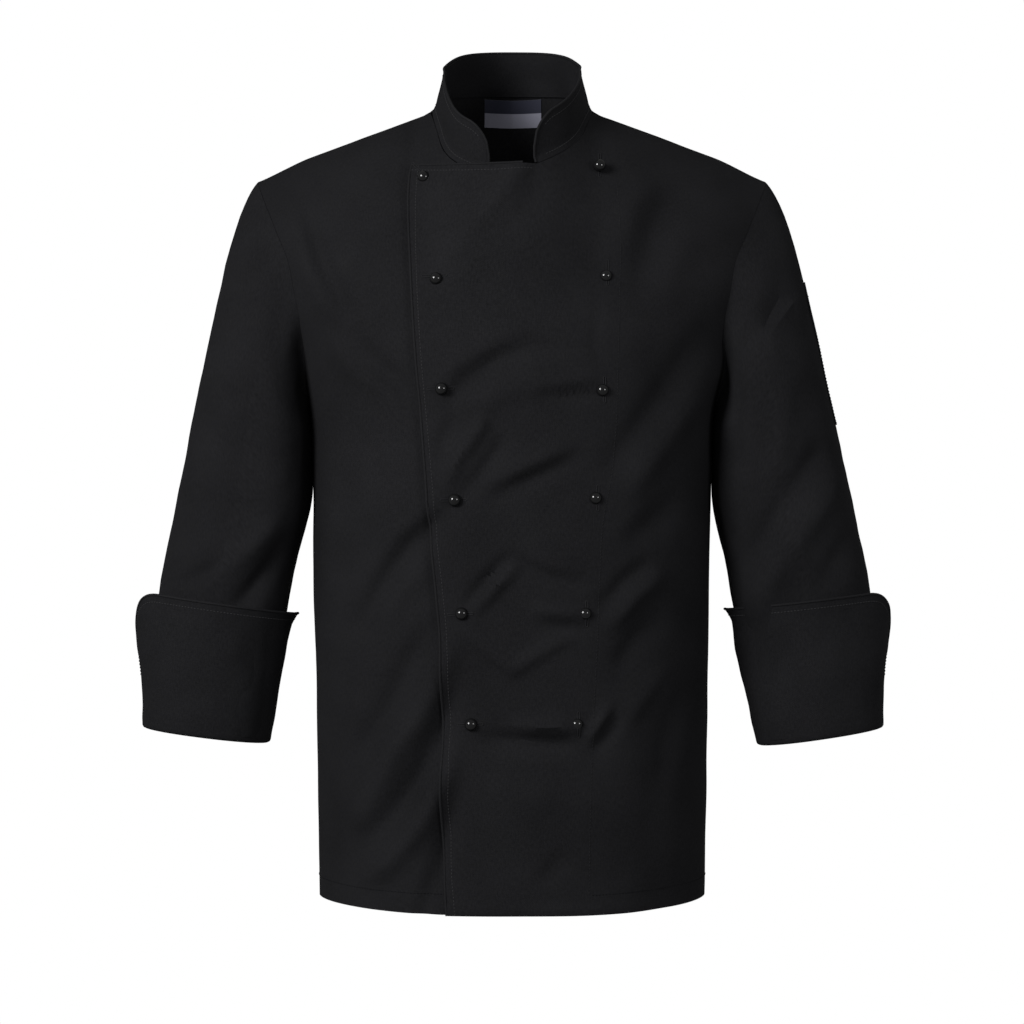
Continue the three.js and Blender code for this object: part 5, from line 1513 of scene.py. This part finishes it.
gloss, gloss_tree, gloss_shader = new_material(
    "polished_black", (0.008, 0.008, 0.0085), 0.1, specular=0.55
)
scratch = gloss_tree.nodes.new("ShaderNodeTexNoise")
scratch.inputs["Scale"].default_value = 900
scratch.inputs["Detail"].default_value = 4
finish_range = gloss_tree.nodes.new("ShaderNodeMapRange")
finish_range.inputs["To Min"].default_value = 0.05
finish_range.inputs["To Max"].default_value = 0.14
gloss_tree.links.new(scratch.outputs["Fac"], finish_range.inputs["Value"])
gloss_tree.links.new(finish_range.outputs["Result"], gloss_shader.inputs["Roughness"])

woven, woven_tree, woven_shader = new_material("woven_label", (0.3, 0.3, 0.36), 0.55, sheen=0.3)
label_place = woven_tree.nodes.new("ShaderNodeTexCoord")
split = woven_tree.nodes.new("ShaderNodeSeparateXYZ")
band = woven_tree.nodes.new("ShaderNodeMath")
band.operation = "LESS_THAN"
band.inputs[1].default_value = -0.0125  # metres down to where the light part starts
tone = woven_tree.nodes.new("ShaderNodeMix")
tone.data_type = "RGBA"
tone.inputs["A"].default_value = (0.028, 0.03, 0.05, 1)
tone.inputs["B"].default_value = (0.30, 0.30, 0.37, 1)
warp = woven_tree.nodes.new("ShaderNodeTexWave")
warp.inputs["Scale"].default_value = 500
woven_tree.links.new(label_place.outputs["UV"], split.inputs["Vector"])
woven_tree.links.new(split.outputs["Y"], band.inputs[0])
woven_tree.links.new(band.outputs[0], tone.inputs["Factor"])
woven_tree.links.new(tone.outputs["Result"], woven_shader.inputs["Base Color"])
woven_tree.links.new(label_place.outputs["UV"], warp.inputs["Vector"])
warp_normal = bump(woven_tree, warp.outputs["Fac"], 0.4, 0.0002)
woven_tree.links.new(warp_normal, woven_shader.inputs["Normal"])

# %% [markdown]
# ## Tying the pieces to the frame
# Every piece rides on the one body of the jacket and stands for its solid. The area is taken
# from the piece as it lies, so it can't show whether the cloth has stretched. The widths and
# lengths are rough: the collar's seam is 70 mm longer than its cut.

# %% Materials and rides
def dress(piece, material, slot, *nodes):
    piece.data.materials.clear()
    piece.data.materials.append(material)
    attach(piece, "root")
    if nodes:
        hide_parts(*nodes)


SOLIDS_DRESSED = [
    (front_left, twill, "cloth", "front_left"),
    (front_right, twill, "cloth", "front_right"),
    (back_panel, twill, "cloth", "back"),
    (sleeve_left, twill, "cloth", "sleeve_left"),
    (sleeve_right, twill, "cloth", "sleeve_right"),
    (cuff_left, twill, "cloth", "cuff_left"),
    (cuff_right, twill, "cloth", "cuff_right"),
    (collar, twill, "cloth", "collar"),
    (pocket, twill, "cloth", "sleeve_pocket"),
    (label, woven, "label", "neck_label"),
    (front_piping, piping_satin, "piping", "piping_front"),
    (collar_piping, piping_satin, "piping", "piping_collar"),
    (left_cuff_piping, piping_satin, "piping", "piping_cuff_left"),
    (right_cuff_piping, piping_satin, "piping", "piping_cuff_right"),
]
SEWING = [
    # Painted sheen: these rows take the lightened copy of the thread.
    (thread, [left_stitches, collar_stitches, left_cuff_stitches]),
    (thread, [right_cuff_stitches, pocket_stitches]),
    # Painted shade: the hem and shoulder rows take the darkened copy of the thread.
    (sunk_thread, [hem_stitches, shoulder_stitches]),
    (matt_thread, [facing_stitches]),
    (bound, buttonholes),
]
for row in SOLIDS_DRESSED:
    dress(*row)
for material, pieces in SEWING:
    for piece in pieces:
        dress(piece, material, "cloth")
for stud, _ in studs.values():
    dress(stud, gloss, "stud")


# %% [markdown]
# ## Studio
# The picture was cut out against plain white. A bright backdrop would spill light round the
# sleeves, so the sky is white for the camera alone and dim for everything else. A broad lamp
# high on the left draws the folds, and weaker ones on the right and in front open the shadows.
# The view transform is Standard, which leaves the white sky and the black cloth as they are.

# %% Sky and lights
SKY_SEEN = 1
SKY_LIGHT = 0.16


def area_light(name, location, target, size, power, mirrored_in_studs=True):
    bpy.ops.object.light_add(type="AREA", location=location)
    lamp = bpy.context.object
    lamp.name = name
    lamp.data.shape = "RECTANGLE"
    lamp.data.size, lamp.data.size_y = size
    lamp.data.energy = power
    lamp.visible_glossy = mirrored_in_studs
    lamp.rotation_euler = (Vector(target) - Vector(location)).to_track_quat("-Z", "Y").to_euler()


CHEST = (0, 0, -0.35)
area_light("left_key", (-2.1, -2.3, 0.75), CHEST, (1.3, 1.3), 92)
area_light("right_fill", (1.8, -1.8, 0.1), CHEST, (0.7, 0.7), 12)
area_light("front_fill", (0.2, -2.8, 0.4), CHEST, (1.0, 0.8), 8, mirrored_in_studs=False)
world = bpy.data.worlds.new("studio")
world.use_nodes = True
sky = world.node_tree
seen = sky.nodes["Background"]
seen.inputs["Color"].default_value = (1, 1, 1, 1)
seen.inputs["Strength"].default_value = SKY_SEEN
ambient = sky.nodes.new("ShaderNodeBackground")
ambient.inputs["Color"].default_value = (1, 1, 1, 1)
ambient.inputs["Strength"].default_value = SKY_LIGHT
ray = sky.nodes.new("ShaderNodeLightPath")
choice = sky.nodes.new("ShaderNodeMixShader")
sky.links.new(ray.outputs["Is Camera Ray"], choice.inputs["Fac"])
sky.links.new(ambient.outputs["Background"], choice.inputs[1])
sky.links.new(seen.outputs["Background"], choice.inputs[2])
sky.links.new(choice.outputs["Shader"], sky.nodes["World Output"].inputs["Surface"])
bpy.context.scene.world = world
bpy.context.scene.view_settings.view_transform = "Standard"
